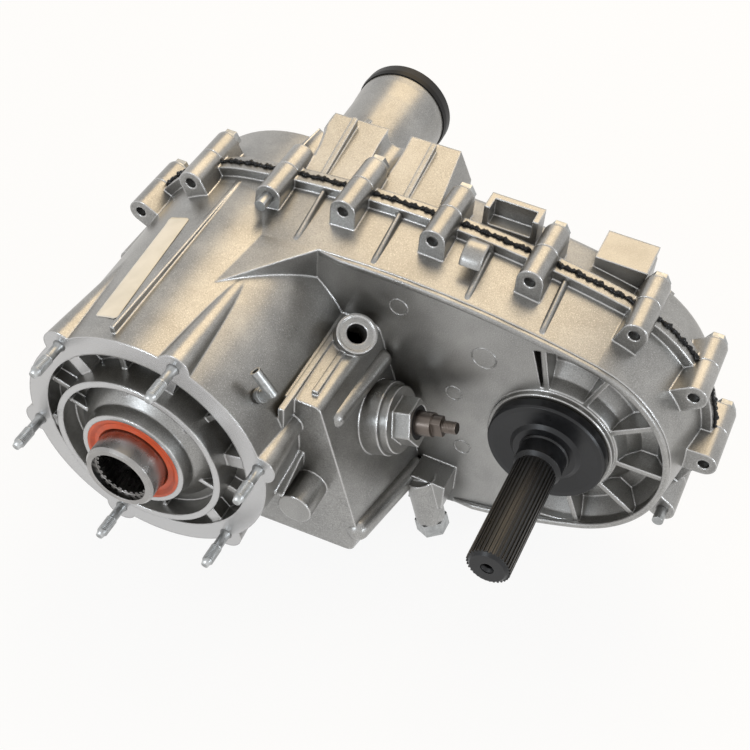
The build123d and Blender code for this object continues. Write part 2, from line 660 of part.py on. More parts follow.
def seal(shaft_r, bore_r, y0, y1, x=0.0):
    """A lip seal: outer can, dished face and a lip that runs on the shaft."""
    mid = (shaft_r + bore_r) / 2
    lip = shaft_r + RUN
    return turned([(lip, y0 + 2), (lip + 1.2, y0 + 0.6), (mid, y0 + 1.6), (bore_r - 2, y0), (bore_r, y0), (bore_r, y1),
                   (bore_r - 1.5, y1), (bore_r - 1.5, y0 + 4), (lip + 1.5, y0 + 4), (lip, y0 + 3.2)], x)


def race_out(bore_r, r, y0, w, x=0.0):
    wall = (r - bore_r) * 0.3
    return tube(r - wall, r, y0, y0 + w, x)


def race_in(bore_r, r, y0, w, x=0.0):
    wall = (r - bore_r) * 0.3
    return tube(bore_r, bore_r + wall, y0, y0 + w, x)


def row(bore_r, r, y0, w, count, x=0.0):
    """The rolling elements in their cage, between the races."""
    lo = bore_r + (r - bore_r) * 0.3 + RUN
    hi = r - (r - bore_r) * 0.3 - RUN
    mid = (lo + hi) / 2
    cage = tube(mid - 1.2, mid + 1.2, y0 + 2, y0 + w - 2, x)
    for k in range(count):
        px, pz = polar(mid, 360 * k / count, x)
        cage += rod((hi - lo) / 2, y0 + 3, y0 + w - 3, px, pz)
    return cage


def clip(r0, r1, y0, t, x=0.0, gap_angle=-90.0):
    """A retaining ring with its opening."""
    ring = tube(r0, r1, y0, y0 + t, x)
    return ring - Pos(x, 0, 0) * Rot(0, -gap_angle, 0) * block(0, r1 + 2, y0 - 1, y0 + t + 1, -3, 3)


# Planetary set.
def annulus_gear():
    root = MODULE * (RING_TEETH / 2 + 1.2)
    ring = rod(RING_R, GEAR_Y - 3, GEAR_Y + GEAR_W) - rod(root - 0.01, GEAR_Y - 4, GEAR_Y + GEAR_W + 1)
    teeth = rod(root, GEAR_Y, GEAR_Y + GEAR_W - 1) - slab(ring_space(), GEAR_Y - 1, GEAR_Y + GEAR_W + 1)
    return ring + teeth


def ring_space():
    """The outline inside the annulus gear, with a tooth at angle 0."""
    pitch_r = MODULE * RING_TEETH / 2
    base = pitch_r * math.cos(PRESSURE)
    tip = MODULE * (RING_TEETH / 2 - 0.9)
    root = MODULE * (RING_TEETH / 2 + 1.2)

    def half(r):
        """Half the angle of a tooth space at a radius."""
        angle = math.acos(min(1.0, base / r))
        thick = math.pi / RING_TEETH + BACKLASH / 2 / pitch_r
        return thick / 2 + (math.tan(PRESSURE) - PRESSURE) - (math.tan(angle) - angle)

    points = []
    for k in range(RING_TEETH):
        mid = 2 * math.pi * (k + 0.5) / RING_TEETH
        for r, a in ((tip, -half(tip)), (root, -half(root)), (root, half(root)), (tip, half(tip))):
            points.append((r * math.cos(mid + a), r * math.sin(mid + a)))
    return make_face(Polyline(*points, close=True))


def planet_places():
    """Each planet's axis, and how far it is turned to mesh with the sun and the annulus."""
    centre = MODULE * (SUN_TEETH + PLANET_TEETH) / 2
    places = []
    for k in range(PLANETS):
        angle = 360 * k / PLANETS
        turn = angle + 180 - 360 / PLANET_TEETH * (0.5 - angle * SUN_TEETH / 360)
        places.append((*polar(centre, angle), turn))
    return places


def planet_gear(x, z, turn):
    tip = MODULE * (PLANET_TEETH / 2 + 0.9)
    root = MODULE * (PLANET_TEETH / 2 - 1.2)
    outline = gear_outline(PLANET_TEETH, tip, root, turn)
    body = slab(outline, GEAR_Y + FACE_GAP, GEAR_Y + GEAR_W - FACE_GAP, x, z)
    return body - rod(PIN_R + RUN, 0, 100, x, z)


def planet_carrier():
    """Front and rear plates joined by four posts between the planets."""
    rear_y = GEAR_Y + GEAR_W
    front = tube(46, 66, GEAR_Y - CARRIER_T, GEAR_Y)
    rear = tube(31, CARRIER_R, rear_y, rear_y + CARRIER_REAR_T)
    body = front + rear
    for k in range(PLANETS):
        x, z = polar(54.4, 360 * (k + 0.5) / PLANETS)
        body += rod(7.5, GEAR_Y - CARRIER_T, rear_y + 2, x, z)
    for x, z, turn in planet_places():
        body -= rod(PIN_R, 0, 100, x, z)
    return body


def planet_pins():
    y1 = GEAR_Y + GEAR_W + CARRIER_REAR_T
    return Compound(children=[rod(PIN_R, GEAR_Y - CARRIER_T, y1, x, z) for x, z, turn in planet_places()])


# Main shaft.
def mainshaft():
    profile = [(0, 28.5), (NOSE_R - 1, 28.5), (NOSE_R, 30), (NOSE_R, 45), (MAIN_R, 47), (MAIN_R, 117), (HUB_SEAT_R, 117),
               (HUB_SEAT_R, 149), (JOURNAL_R, 149), (JOURNAL_R, 196), (30, 196), (30, 200), (MAIN_R + 2, 200), (MAIN_R + 2, 226),
               (REAR_SEAT_R, 226), (REAR_SEAT_R, 244.5), (MAIN_R - 0.5, 244.5), (MAIN_R - 0.5, 318), (TAIL_SHAFT_R - 1.5, 320),
               (TAIL_SHAFT_R - 1.5, TAIL_SHAFT_Y - 1), (TAIL_SHAFT_R - 3, TAIL_SHAFT_Y), (0, TAIL_SHAFT_Y)]
    body = turned(profile)
    body += slab(spline_outline(TAIL_SPLINES, TAIL_SHAFT_R, TAIL_SHAFT_R - 1.5), 322, TAIL_SHAFT_Y - 2)
    return body


def range_sleeve():
    y = RANGE_Y
    profile = [(MAIN_R + RUN, y), (30.5, y), (30.5, y + 10), (26, y + 10), (26, y + 32), (38, y + 32), (38, y + 36),
               (31, y + 36), (31, y + 44), (38, y + 44), (38, y + 48), (MAIN_R + RUN, y + 48)]
    return turned(profile)


def mode_hub():
    return tube(HUB_SEAT_R, MODE_R - RUN, 121, 148.5)


def mode_sleeve():
    y = MODE_Y
    return turned([(MODE_R, y), (MODE_SLEEVE_R, y), (MODE_SLEEVE_R, y + 10), (41, y + 10), (41, y + 18),
                   (MODE_SLEEVE_R, y + 18), (MODE_SLEEVE_R, y + 26), (43, y + MODE_W), (MODE_R, y + MODE_W)])


def sprocket(bore_r, x, collar_y):
    """A toothed rim, web and hub; the teeth stop short of the links, which stand still here."""
    y0 = CHAIN_MID_Y - CHAIN_WIDTH / 2
    y1 = CHAIN_MID_Y + CHAIN_WIDTH / 2
    tip = CHAIN_R * math.cos(math.pi / SPROCKET_TEETH) - LINK_TOE - GAP
    rim = slab(spline_outline(SPROCKET_TEETH, tip, tip - 3.4), y0, y1, x)
    body = rim - tube(bore_r + 9, tip - 9, y0 - 1, y0 + 10, x) - tube(bore_r + 9, tip - 9, y1 - 10, y1 + 1, x)
    body += rod(bore_r + 9, y0, y1 + 2, x)
    if collar_y:
        body += rod(MODE_R - RUN, collar_y, y0, x)
    return body - rod(bore_r, 0, 300, x)


def drive_chain():
    """A silent chain: outer and inner link plates with two toes each, in turn."""
    y0 = CHAIN_MID_Y - CHAIN_WIDTH / 2
    side = 6.0
    h = CHAIN_PITCH / 2 + 3.1
    plate = [(-h, 1.2), (-h + 2, LINK_BACK), (h - 2, LINK_BACK), (h, 1.2), (h - 0.8, -LINK_TOE), (h - 3.2, -LINK_TOE),
             (0, -0.4), (-h + 3.2, -LINK_TOE), (-h + 0.8, -LINK_TOE)]
    face = make_face(Polyline(*plate, close=True))
    inner = slab(face, y0 + side, y0 + CHAIN_WIDTH - side)
    outer = [slab(face, y0, y0 + side), slab(face, y0 + CHAIN_WIDTH - side, y0 + CHAIN_WIDTH)]
    links = []
    for k, (x, z, angle) in enumerate(ordered_links()):
        at = Pos(x, 0, z) * Rot(0, -angle, 0)
        for piece in ([inner] if k % 2 else outer):
            links.append(at * piece)
    return Compound(children=links)


def ordered_links():
    """The links one after another: top run, front output, lower run, main shaft."""
    places = []
    half_turn = SPROCKET_TEETH // 2
    straight = (CHAIN_LINKS - SPROCKET_TEETH) // 2
    chord = CHAIN_R * math.cos(math.pi / SPROCKET_TEETH)
    for k in range(straight):
        places.append(((k + 0.5) * CHAIN_PITCH, CHAIN_R, 0.0))
    for k in range(half_turn):
        angle = 90 - (k + 0.5) * 180 / half_turn
        places.append((*polar(chord, angle, DROP), angle - 90))
    for k in range(straight):
        places.append((DROP - (k + 0.5) * CHAIN_PITCH, -CHAIN_R, 180.0))
    for k in range(half_turn):
        angle = -90 - (k + 0.5) * 180 / half_turn
        places.append((*polar(chord, angle), angle - 90))
    return places


# Front output.
def front_output_shaft():
    profile = [(0, OUT_Y), (OUT_R - 3, OUT_Y), (OUT_R - 1.2, OUT_Y + 2), (OUT_R - 1.2, OUT_SPLINE_END + 2),
               (OUT_COLLAR_R, OUT_SPLINE_END + 4), (OUT_COLLAR_R, 112), (OUT_SEAT_R, 113), (OUT_SEAT_R, 152), (20, 152.5),
               (20, 198), (OUT_NEEDLE_R, 199), (OUT_NEEDLE_R, 222), (0, 222)]
    body = turned(profile, DROP)
    body += slab(spline_outline(OUT_SPLINES, OUT_R, OUT_R - 1.2), OUT_Y + 2, OUT_SPLINE_END, DROP)
    return body - turned([(0, OUT_Y - 1), (4.6, OUT_Y - 1), (4.6, OUT_Y + 1), (3, OUT_Y + 3), (3, OUT_Y + 20), (0, OUT_Y + 22)], DROP)


def slinger_disc():
    """The pressed disc that keeps mud off the seal, with its rolled rim and hub."""
    y = SLINGER_Y
    return turned([(OUT_SEAT_R, y - 1), (22, y - 1), (25, y + 1), (SLINGER_R - 5, y), (SLINGER_R - 1.5, y), (SLINGER_R - 0.5, y + 1.5),
                   (SLINGER_R, y + SLINGER_W), (SLINGER_R - 2, y + SLINGER_W), (SLINGER_R - 4, y + 3), (24, y + 4),
                   (22, y + SLINGER_W), (OUT_SEAT_R, y + SLINGER_W)], DROP)


# Shift mechanism.
def shift_point(t, y, n):
    """A point given by its place along the shift shaft, its Y, and its height across."""
    return (SECTOR_AT[0] + t * COS_T - n * SIN_T, y, SECTOR_AT[2] + t * SIN_T + n * COS_T)


# The shift rail's place seen from the shift shaft.
RAIL_T = (RAIL_X - SECTOR_AT[0]) * COS_T + (RAIL_Z - SECTOR_AT[2]) * SIN_T
RAIL_N = -(RAIL_X - SECTOR_AT[0]) * SIN_T + (RAIL_Z - SECTOR_AT[2]) * COS_T
PLATE_T = -29.0
PLATE_THICK = 4.0
PIN_SLOT_R = 4.0
FORK_HUB_R = RAIL_R + 4.5
RANGE_MID_Y = RANGE_Y + 40.0


def sector_shaft():
    """The shift shaft: its journal, two flats for the lever and a threaded end."""
    body = shift_bar(SECTOR_SHAFT_R, PLATE_T - 2, 27)
    flats = extrude(shift_plane(27) * Rectangle(9.5, 14.5), amount=7) & shift_bar(7.2, 27, 34)
    return body + flats + shift_bar(4.0, 34, SHAFT_END)


def sector_plate():
    """The cam plate on the shift shaft; its slot drives the range fork's pin."""
    aim = math.degrees(math.atan2(RAIL_N, RANGE_MID_Y - SECTOR_AT[1]))
    far = math.hypot(RAIL_N, RANGE_MID_Y - SECTOR_AT[1])
    arm = Circle(15) + Rot(0, 0, aim) * Pos(far / 2, 0) * Rectangle(far, 24) + Rot(0, 0, aim) * Pos(far, 0) * Circle(14)
    arm -= Rot(0, 0, aim) * Pos(far - 1.5, 0) * Rot(0, 0, 0) * SlotOverall(18, 2 * PIN_SLOT_R + 2.8)
    plate = extrude(shift_plane(PLATE_T) * arm, amount=PLATE_THICK)
    return plate - shift_bar(SECTOR_SHAFT_R, -60, 0)


def sector_retainer():
    """The hex-headed bush that carries the shift shaft in the case."""
    body = shift_bar(15.0, -20, -2) + shift_bar(NUT_FLANGE_R, -3, 3)
    body += extrude(shift_plane(3) * hexagon(NUT_AF), amount=13)
    body -= shift_bar(SECTOR_SHAFT_R + RUN, -30, 30)
    return body - shift_bar(SECTOR_SEAL_R, 9, 20)


def sector_seal():
    return shift_bar(SECTOR_SEAL_R, 9, 15.5) - shift_bar(SECTOR_SHAFT_R + RUN, 0, 20)


def shift_rail():
    return rod(RAIL_R, RAIL_Y0, RAIL_Y1, RAIL_X, RAIL_Z)


def fork(groove_r, y, width, ring_r, hub_y0, hub_y1, bore_r):
    """A shift fork: a hub on the rail, an arm, and a claw round half of the sleeve."""
    mid = y + width / 2
    claw = tube(groove_r + GAP, ring_r, y + GAP, y + width - GAP)
    reach = math.degrees(math.atan2(RAIL_Z, RAIL_X))
    claw -= Rot(0, -(reach + 180), 0) * block(-4, 80, mid - 20, mid + 20, -80, 80)
    far = math.hypot(RAIL_X, RAIL_Z)
    arm = Rot(0, -reach, 0) * block(ring_r - 3, far - 4, y + GAP, y + width - GAP, -9, 9)
    hub = rod(FORK_HUB_R, hub_y0, hub_y1, RAIL_X, RAIL_Z)
    return claw + arm + hub - rod(bore_r, 0, 260, RAIL_X, RAIL_Z)


def range_fork():
    """The range fork, with the pin that stands in the sector plate's slot."""
    body = fork(31, RANGE_Y + 36, 8, 40, 78, 96, RAIL_R + RUN)
    pin_plane = Plane(origin=shift_point(RAIL_T + RAIL_R + 1, RANGE_MID_Y, RAIL_N), x_dir=(0, 1, 0), z_dir=(COS_T, 0, SIN_T))
    reach = PLATE_T + PLATE_THICK - (RAIL_T + RAIL_R + 1)
    return body + extrude(pin_plane * Circle(PIN_SLOT_R), amount=reach)


def mode_fork():
    return fork(41, MODE_Y + 10, 8, 50, 126, 146, RAIL_R)


# Oil pump and sump.
PUMP_Y = 203.0
PUMP_END_Y = 222.0
PUMP_R = 45.0
PUMP_ROOM_R = 33.0


def pump_body():
    body = tube(MAIN_R + 2 + GAP, PUMP_R, PUMP_Y, PUMP_END_Y) - tube(MAIN_R, PUMP_ROOM_R, PUMP_Y + 4, PUMP_END_Y - 4)
    spout = Rot(0, -PICKUP_ANGLE, 0) * Pos(PUMP_R + 1, PICKUP_Y, 0) * Rot(0, 90, 0) * Cylinder(PICKUP_R + 2, 10)
    return body + spout


def pump_rotor():
    lobes = spline_outline(8, PUMP_ROOM_R - GAP, PUMP_ROOM_R - 6)
    return slab(lobes, PUMP_Y + 4 + FACE_GAP, PUMP_END_Y - 4 - FACE_GAP) - rod(MAIN_R + 2, 200, 230)


PICKUP_ANGLE = -45.0
PICKUP_R = 4.0
PICKUP_Y = 207.0
STRAINER_R = 12.0
PICKUP_FAR = 128.0


def pickup_tube():
    """The suction pipe from the pump down to a strainer over the sump's floor."""
    turn = Rot(0, -PICKUP_ANGLE, 0)
    start = PUMP_R + 6
    pipe = turn * Pos((start + PICKUP_FAR) / 2, PICKUP_Y, 0) * Rot(0, 90, 0) * Cylinder(PICKUP_R, PICKUP_FAR - start)
    x, z = polar(PICKUP_FAR, PICKUP_ANGLE)
    return pipe + Pos(x, PICKUP_Y, z) * Cylinder(STRAINER_R, 9)


def sump_magnet():
    return rod(9, REAR_B_Y - 11, REAR_B_Y - 6, 140, -78)


# Plugs, vent and sensor.
def drain_plug():
    down = Plane(origin=DRAIN_AT, x_dir=(0, 1, 0), z_dir=(SIN_T, 0, -COS_T))
    shank = down * Pos(0, 0, DRAIN_LONG - 7) * Cylinder(DRAIN_R, 14)
    return shank + extrude(Plane(down * Pos(0, 0, DRAIN_LONG)) * hexagon(21), amount=11)


def fill_plug():
    x, z = FILL_AT
    return rod(9, REAR_B_Y - 8, REAR_B_Y + 5, x, z) + slab(hexagon(22), REAR_B_Y + 5, REAR_B_Y + 13, x, z)


VENT_ANGLE = 39.0
VENT_Y = 26.0
VENT_R = 3.6


def vent_seat():
    """The breather's drilled hole, flush with its post."""
    return Rot(0, -VENT_ANGLE, 0) * Pos(BARREL_R + 2, VENT_Y, 0) * Rot(0, 90, 0) * Cylinder(VENT_R, 14)


def vent_tube():
    """The breather: a short post on the barrel and an open elbow."""
    turn = Rot(0, -VENT_ANGLE, 0)
    post = turn * Pos(BARREL_R + 5, VENT_Y, 0) * Rot(0, 90, 0) * Cylinder(VENT_R, 20)
    collar = turn * Pos(BARREL_R + 4, VENT_Y, 0) * Rot(0, 90, 0) * Cylinder(VENT_R + 1.6, 3)
    leg = turn * Pos(BARREL_R + 13, VENT_Y, 8) * Cylinder(VENT_R, 20)
    hole = turn * Pos(BARREL_R + 13, VENT_Y, 9) * Cylinder(VENT_R - 1.2, 20)
    return post + collar + leg - hole


def speed_wheel():
    """The toothed wheel that the speed sensor reads."""
    return slab(spline_outline(20, 25, 22), SPEED_Y - 7, SPEED_Y + 7) - rod(MAIN_R - 0.5, 200, 400)


def speed_sensor():
    stem = Pos(-39, SPEED_Y, 0) * Rot(0, 90, 0) * Cylinder(SPEED_R, 24)
    return stem + Pos(-57, SPEED_Y, 0) * Rot(0, 90, 0) * Cylinder(SPEED_R + 4, 14)


# Tail fittings.
def tail_seal():
    return seal(BUSH_R, 35, 404, 416)


def tail_boot():
    """The black ring over the tail's mouth."""
    y = TAIL_END_Y
    r = BOOT_R
    return turned([(36, y), (TAIL_R, y), (TAIL_R, y - 3), (r, y - 3), (r + 0.8, y + 1), (r + 0.5, BOOT_Y - 3), (r - 2, BOOT_Y), (30, BOOT_Y), (29, BOOT_Y - 3),
                   (31, BOOT_Y - 5), (31, y + 1), (36, y + 1)])


# Every node's name and its solid.
def make_parts():
    in_brg = (HUB_R, INPUT_BRG_R, INPUT_BRG_Y, INPUT_BRG_W)
    out_brg = (OUT_SEAT_R, OUT_BRG_R, OUT_BRG_Y, OUT_BRG_W)
    rear_brg = (REAR_SEAT_R, REAR_BRG_R, REAR_Y - REAR_BRG_W - 2, REAR_BRG_W)
    parts = {
        "front_case": front_case(),
        "rear_case": rear_case(),
        "tail_housing": tail_housing(),
        "seam_sealant": seam_sealant(),
        "case_bolts": case_bolts(),
        "locating_dowels": locating_dowels(),
        "tail_bolts": tail_bolts(),
        "mounting_studs": mounting_studs(),
        "input_gear": input_gear(),
        "input_seal": input_seal(),
        "input_bearing_race": race_out(*in_brg),
        "input_bearing_balls": row(*in_brg, 9),
        "input_bearing_cone": race_in(*in_brg),
        "input_bearing_clip": clip(INPUT_BRG_R - 4, INPUT_BRG_R, INPUT_BRG_Y + INPUT_BRG_W, 2),
        "pilot_bearing": row(NOSE_R - 2.6, 18.6, 30, 14, 8),
        "annulus_gear": annulus_gear(),
        "planet_carrier": planet_carrier(),
        "planet_pins": planet_pins(),
        "mainshaft": mainshaft(),
        "range_sleeve": range_sleeve(),
        "mode_hub": mode_hub(),
        "mode_sleeve": mode_sleeve(),
        "drive_sprocket": sprocket(JOURNAL_R + RUN, 0, 150),
        "driven_sprocket": sprocket(20, DROP, 0),
        "drive_chain": drive_chain(),
        "front_output_shaft": front_output_shaft(),
        "slinger_disc": slinger_disc(),
        "output_seal": seal(OUT_SEAT_R, OUT_SEAL_R, 123.5, 123.5 + OUT_SEAL_W, DROP),
        "output_bearing_race": race_out(*out_brg, DROP),
        "output_bearing_balls": row(*out_brg, 8, DROP),
        "output_bearing_cone": race_in(*out_brg, DROP),
        "output_rear_bearing": tube(OUT_NEEDLE_R + RUN, 26, 202, 220, DROP),
        "rear_bearing_race": race_out(*rear_brg),
        "rear_bearing_balls": row(*rear_brg, 9),
        "rear_bearing_cone": race_in(*rear_brg),
        "rear_bearing_clip": clip(MAIN_R - 0.5, MAIN_R + 5, 244.0 + FACE_GAP + 0.2, 2),
        "sector_shaft": sector_shaft(),
        "sector_plate": sector_plate(),
        "sector_retainer": sector_retainer(),
        "sector_seal": sector_seal(),
        "shift_rail": shift_rail(),
        "range_fork": range_fork(),
        "mode_fork": mode_fork(),
        "pump_body": pump_body(),
        "pump_rotor": pump_rotor(),
        "pickup_tube": pickup_tube(),
        "sump_magnet": sump_magnet(),
        "drain_plug": drain_plug(),
        "fill_plug": fill_plug(),
        "vent_tube": vent_tube(),
        "speed_wheel": speed_wheel(),
        "speed_sensor": speed_sensor(),
        "tail_bush": tube(BUSH_R, TAIL_BORE_R, 362, 392),
        "tail_seal": tail_seal(),
        "tail_boot": tail_boot(),
    }
    for k, (x, z, turn) in enumerate(planet_places()):
        parts[f"planet_gear_{k + 1}"] = planet_gear(x, z, turn)
    return parts


os.makedirs("parts", exist_ok=True)
for name, solid in make_parts().items():
    export_step(solid, f"parts/{name}.step")
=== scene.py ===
import math

import bpy
import numpy as np
from mathutils import Matrix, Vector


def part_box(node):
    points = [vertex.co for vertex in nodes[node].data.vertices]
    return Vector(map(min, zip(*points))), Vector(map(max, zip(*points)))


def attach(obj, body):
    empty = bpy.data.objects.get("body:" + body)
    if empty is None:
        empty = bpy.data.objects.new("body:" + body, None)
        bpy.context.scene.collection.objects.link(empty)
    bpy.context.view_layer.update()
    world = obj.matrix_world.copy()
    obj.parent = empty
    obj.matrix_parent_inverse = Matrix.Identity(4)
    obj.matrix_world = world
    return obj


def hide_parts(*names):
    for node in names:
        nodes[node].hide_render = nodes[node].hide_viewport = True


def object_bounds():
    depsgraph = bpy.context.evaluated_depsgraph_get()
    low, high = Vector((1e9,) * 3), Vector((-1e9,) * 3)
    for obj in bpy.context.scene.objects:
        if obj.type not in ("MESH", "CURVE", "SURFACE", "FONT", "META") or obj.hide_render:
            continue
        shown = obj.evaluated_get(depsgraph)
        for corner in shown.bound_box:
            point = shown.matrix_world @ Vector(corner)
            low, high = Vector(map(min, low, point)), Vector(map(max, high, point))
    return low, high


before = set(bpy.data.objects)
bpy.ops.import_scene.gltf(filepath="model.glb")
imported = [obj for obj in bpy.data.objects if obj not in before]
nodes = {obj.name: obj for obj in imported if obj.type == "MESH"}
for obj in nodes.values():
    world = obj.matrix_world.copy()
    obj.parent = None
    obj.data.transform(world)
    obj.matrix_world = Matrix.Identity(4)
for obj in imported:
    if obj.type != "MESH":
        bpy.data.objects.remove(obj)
cad_box = [list(map(float, corner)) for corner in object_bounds()]


# Front case half: one aluminium die casting with the bell, the box for the selector and the wall
# of the chain chamber. Its skin is bead-blasted, with a painted highlight along its edges and
# painted shade in its corners, and cut bright on the faces that meet the gearbox.
def add_node(tree, kind, inputs=None, **settings):
    """A shader node with its settings; an input takes a number, a colour or another node's output."""
    made = tree.nodes.new(kind)
    for name, value in settings.items():
        setattr(made, name, value)
    for key, value in (inputs or {}).items():
        if isinstance(value, bpy.types.NodeSocket):
            tree.links.new(value, made.inputs[key])
        else:
            made.inputs[key].default_value = value
    return made


def surface(name, metallic, roughness, color):
    """A new material: its tree, its principled shader and the object coordinates."""
    material = bpy.data.materials.new(name)
    material.use_nodes = True
    tree = material.node_tree
    shader = tree.nodes["Principled BSDF"]
    shader.inputs["Metallic"].default_value = metallic
    shader.inputs["Roughness"].default_value = roughness
    shader.inputs["Base Color"].default_value = (*color, 1.0)
    material.diffuse_color = (*color, 1.0)
    place = tree.nodes.new("ShaderNodeTexCoord").outputs["Object"]
    return material, tree, shader, place


def noise(tree, place, scale, detail=2.0, rough=0.5):
    """Cloudy noise between 0 and 1, with that many cells to the metre."""
    inputs = {"Vector": place, "Scale": scale, "Detail": detail, "Roughness": rough}
    return add_node(tree, "ShaderNodeTexNoise", inputs).outputs[0]


def math_node(tree, operation, *values):
    """One arithmetic step on numbers or outputs."""
    made = add_node(tree, "ShaderNodeMath", dict(enumerate(values)), operation=operation)
    return made.outputs[0]


def vector_math(tree, operation, *values):
    """One arithmetic step on vectors; lengths and dot products come out as numbers."""
    made = add_node(tree, "ShaderNodeVectorMath", dict(enumerate(values)), operation=operation)
    return made.outputs["Value" if operation in ("LENGTH", "DOT_PRODUCT") else "Vector"]


def spread(tree, value, low, high, out_low=0.0, out_high=1.0):
    """A value between low and high, stretched linearly to the new limits and clamped there."""
    inputs = {"Value": value, "From Min": low, "From Max": high, "To Min": out_low, "To Max": out_high}
    return add_node(tree, "ShaderNodeMapRange", inputs).outputs[0]


def mix_color(tree, share, first, second):
    """A blend of two colours."""
    made = add_node(tree, "ShaderNodeMix", {0: share}, data_type="RGBA")
    for socket, value in ((made.inputs[6], first), (made.inputs[7], second)):
        if isinstance(value, bpy.types.NodeSocket):
            tree.links.new(value, socket)
        else:
            socket.default_value = (*value, 1.0)
    return made.outputs[2]


def add_bump(tree, shader, strength, distance, height, normal=None):
    """Small relief from a height, over rounded edges where their normal is given."""
    inputs = {"Strength": strength, "Distance": distance, "Height": height}
    if normal is not None:
        inputs["Normal"] = normal
    tree.links.new(add_node(tree, "ShaderNodeBump", inputs).outputs[0], shader.inputs["Normal"])


def rounded_edges(tree, radius):
    """Normals of a small rounding, and a mask that is 1 along the edges."""
    soft = add_node(tree, "ShaderNodeBevel", {"Radius": radius}, samples=6).outputs[0]
    hard = tree.nodes.new("ShaderNodeNewGeometry").outputs["True Normal"]
    agree = vector_math(tree, "DOT_PRODUCT", soft, hard)
    return soft, spread(tree, agree, 1.0, 0.75)


def hollows(tree, reach, samples):
    """Falls from 1 towards 0 where other metal stands within reach."""
    return add_node(tree, "ShaderNodeAmbientOcclusion", {"Distance": reach}, samples=samples).outputs["AO"]


def facing(tree, axis, low=0.96, high=0.995):
    """A mask that is 1 where the surface looks along that axis, either way."""
    normal = tree.nodes.new("ShaderNodeNewGeometry").outputs["True Normal"]
    split = add_node(tree, "ShaderNodeSeparateXYZ", {0: normal}).outputs[axis]
    return spread(tree, math_node(tree, "ABSOLUTE", split), low, high)


def axis_distance(tree, place, centre):
    """The distance from an axis along Y through centre."""
    moved = vector_math(tree, "SUBTRACT", place, centre)
    return vector_math(tree, "LENGTH", vector_math(tree, "MULTIPLY", moved, (1.0, 0.0, 1.0)))


def lathe_marks(tree, place, centre, pitch):
    """Rings round an axis along Y: the sine of the distance from it, for a turned face."""
    turns = math_node(tree, "MULTIPLY", axis_distance(tree, place, centre), 2 * math.pi / pitch)
    return math_node(tree, "MULTIPLY_ADD", math_node(tree, "SINE", turns), 0.5, 0.5)


def cast_aluminium(name, cut_faces=None):
    """Blasted die cast skin; cut_faces gives (low y, high y, outer radius) of the faces turned flat."""
    material, tree, shader, place = surface(name, 0.88, 0.34, (0.34, 0.337, 0.33))
    soft, edge = rounded_edges(tree, 0.0020)
    cloud = noise(tree, place, 22.0, 5.0, 0.6)
    streak = noise(tree, place, 160.0, 3.0, 0.6)
    sand = noise(tree, place, 1500.0, 2.0, 0.6)
    hollow = hollows(tree, 0.012, 6)
    skin = mix_color(tree, spread(tree, cloud, 0.35, 0.7), (0.27, 0.268, 0.262), (0.40, 0.397, 0.388))
    skin = mix_color(tree, spread(tree, sand, 0.5, 0.68, 0.0, 0.5), skin, (0.15, 0.147, 0.14))
    skin = mix_color(tree, spread(tree, sand, 0.42, 0.3, 0.0, 0.5), skin, (0.66, 0.66, 0.65))
    # Painted shade: the colour darkens towards near black where other metal stands close, in corners and
    # hollows.
    skin = mix_color(tree, spread(tree, hollow, 0.7, 0.15, 0.0, 0.6), skin, (0.05, 0.048, 0.045))
    # Painted highlight: the colour is lightened towards pale grey along the edges.
    color = mix_color(tree, math_node(tree, "MULTIPLY", edge, 0.8), skin, (0.80, 0.80, 0.80))
    rough = spread(tree, cloud, 0.3, 0.7, 0.27, 0.38)
    rough = math_node(tree, "MULTIPLY_ADD", edge, -0.12, rough)
    height = math_node(tree, "MULTIPLY_ADD", streak, 0.35, sand)
    if cut_faces:
        low, high, radius = cut_faces
        main_axis = (0.0, 0.0, 0.0)
        along = add_node(tree, "ShaderNodeSeparateXYZ", {0: place}).outputs[1]
        inside = math_node(tree, "COMPARE", along, (low + high) / 2, (high - low) / 2)
        near = math_node(tree, "LESS_THAN", axis_distance(tree, place, main_axis), radius)
        cut = math_node(tree, "MULTIPLY", math_node(tree, "MULTIPLY", inside, near), facing(tree, 1))
        rings = lathe_marks(tree, place, main_axis, 0.0007)
        color = mix_color(tree, cut, color, (0.52, 0.52, 0.525))
        rough = add_node(tree, "ShaderNodeMix", {0: cut, 2: rough, 3: 0.24}).outputs[0]
        height = add_node(tree, "ShaderNodeMix", {0: cut, 2: height, 3: rings}).outputs[0]
    add_bump(tree, shader, 0.26, 0.0002, height, soft)
    tree.links.new(color, shader.inputs["Base Color"])
    tree.links.new(rough, shader.inputs["Roughness"])
    return material


def dress(material, *names):
    """Puts one material on CAD nodes."""
    for name in names:
        mesh = nodes[name].data
        mesh.materials.clear()
        mesh.materials.append(material)


dress(cast_aluminium("front_casting", (-0.017, 0.002, 0.11)), "front_case")


# Rear case half: the same alloy and skin, closing the chain chamber behind the seam.
dress(cast_aluminium("rear_casting"), "rear_case")


# Tail housing: a tube cast in the same alloy, screwed to the rear half round the main shaft.
dress(cast_aluminium("tail_casting"), "tail_housing")


# Small castings inside: the pump's body and the two forks, in plain bright alloy.
dress(cast_aluminium("inner_casting"), "pump_body", "range_fork", "mode_fork")


# Bead of sealant: black silicone paste, squeezed out of the seam by the screws into a lumpy cord
# with a wet shine.
def sealant():
    """Cured paste, wet in places."""
    material, tree, shader, place = surface("black_silicone", 0.0, 0.18, (0.005, 0.005, 0.006))
    shader.inputs["Specular IOR Level"].default_value = 0.3
    lumps = noise(tree, place, 260.0, 3.0)
    add_bump(tree, shader, 0.5, 0.0008, lumps)
    tree.links.new(spread(tree, noise(tree, place, 90.0), 0.3, 0.7, 0.10, 0.32), shader.inputs["Roughness"])
    return material


paste = sealant()
dress(paste, "seam_sealant")


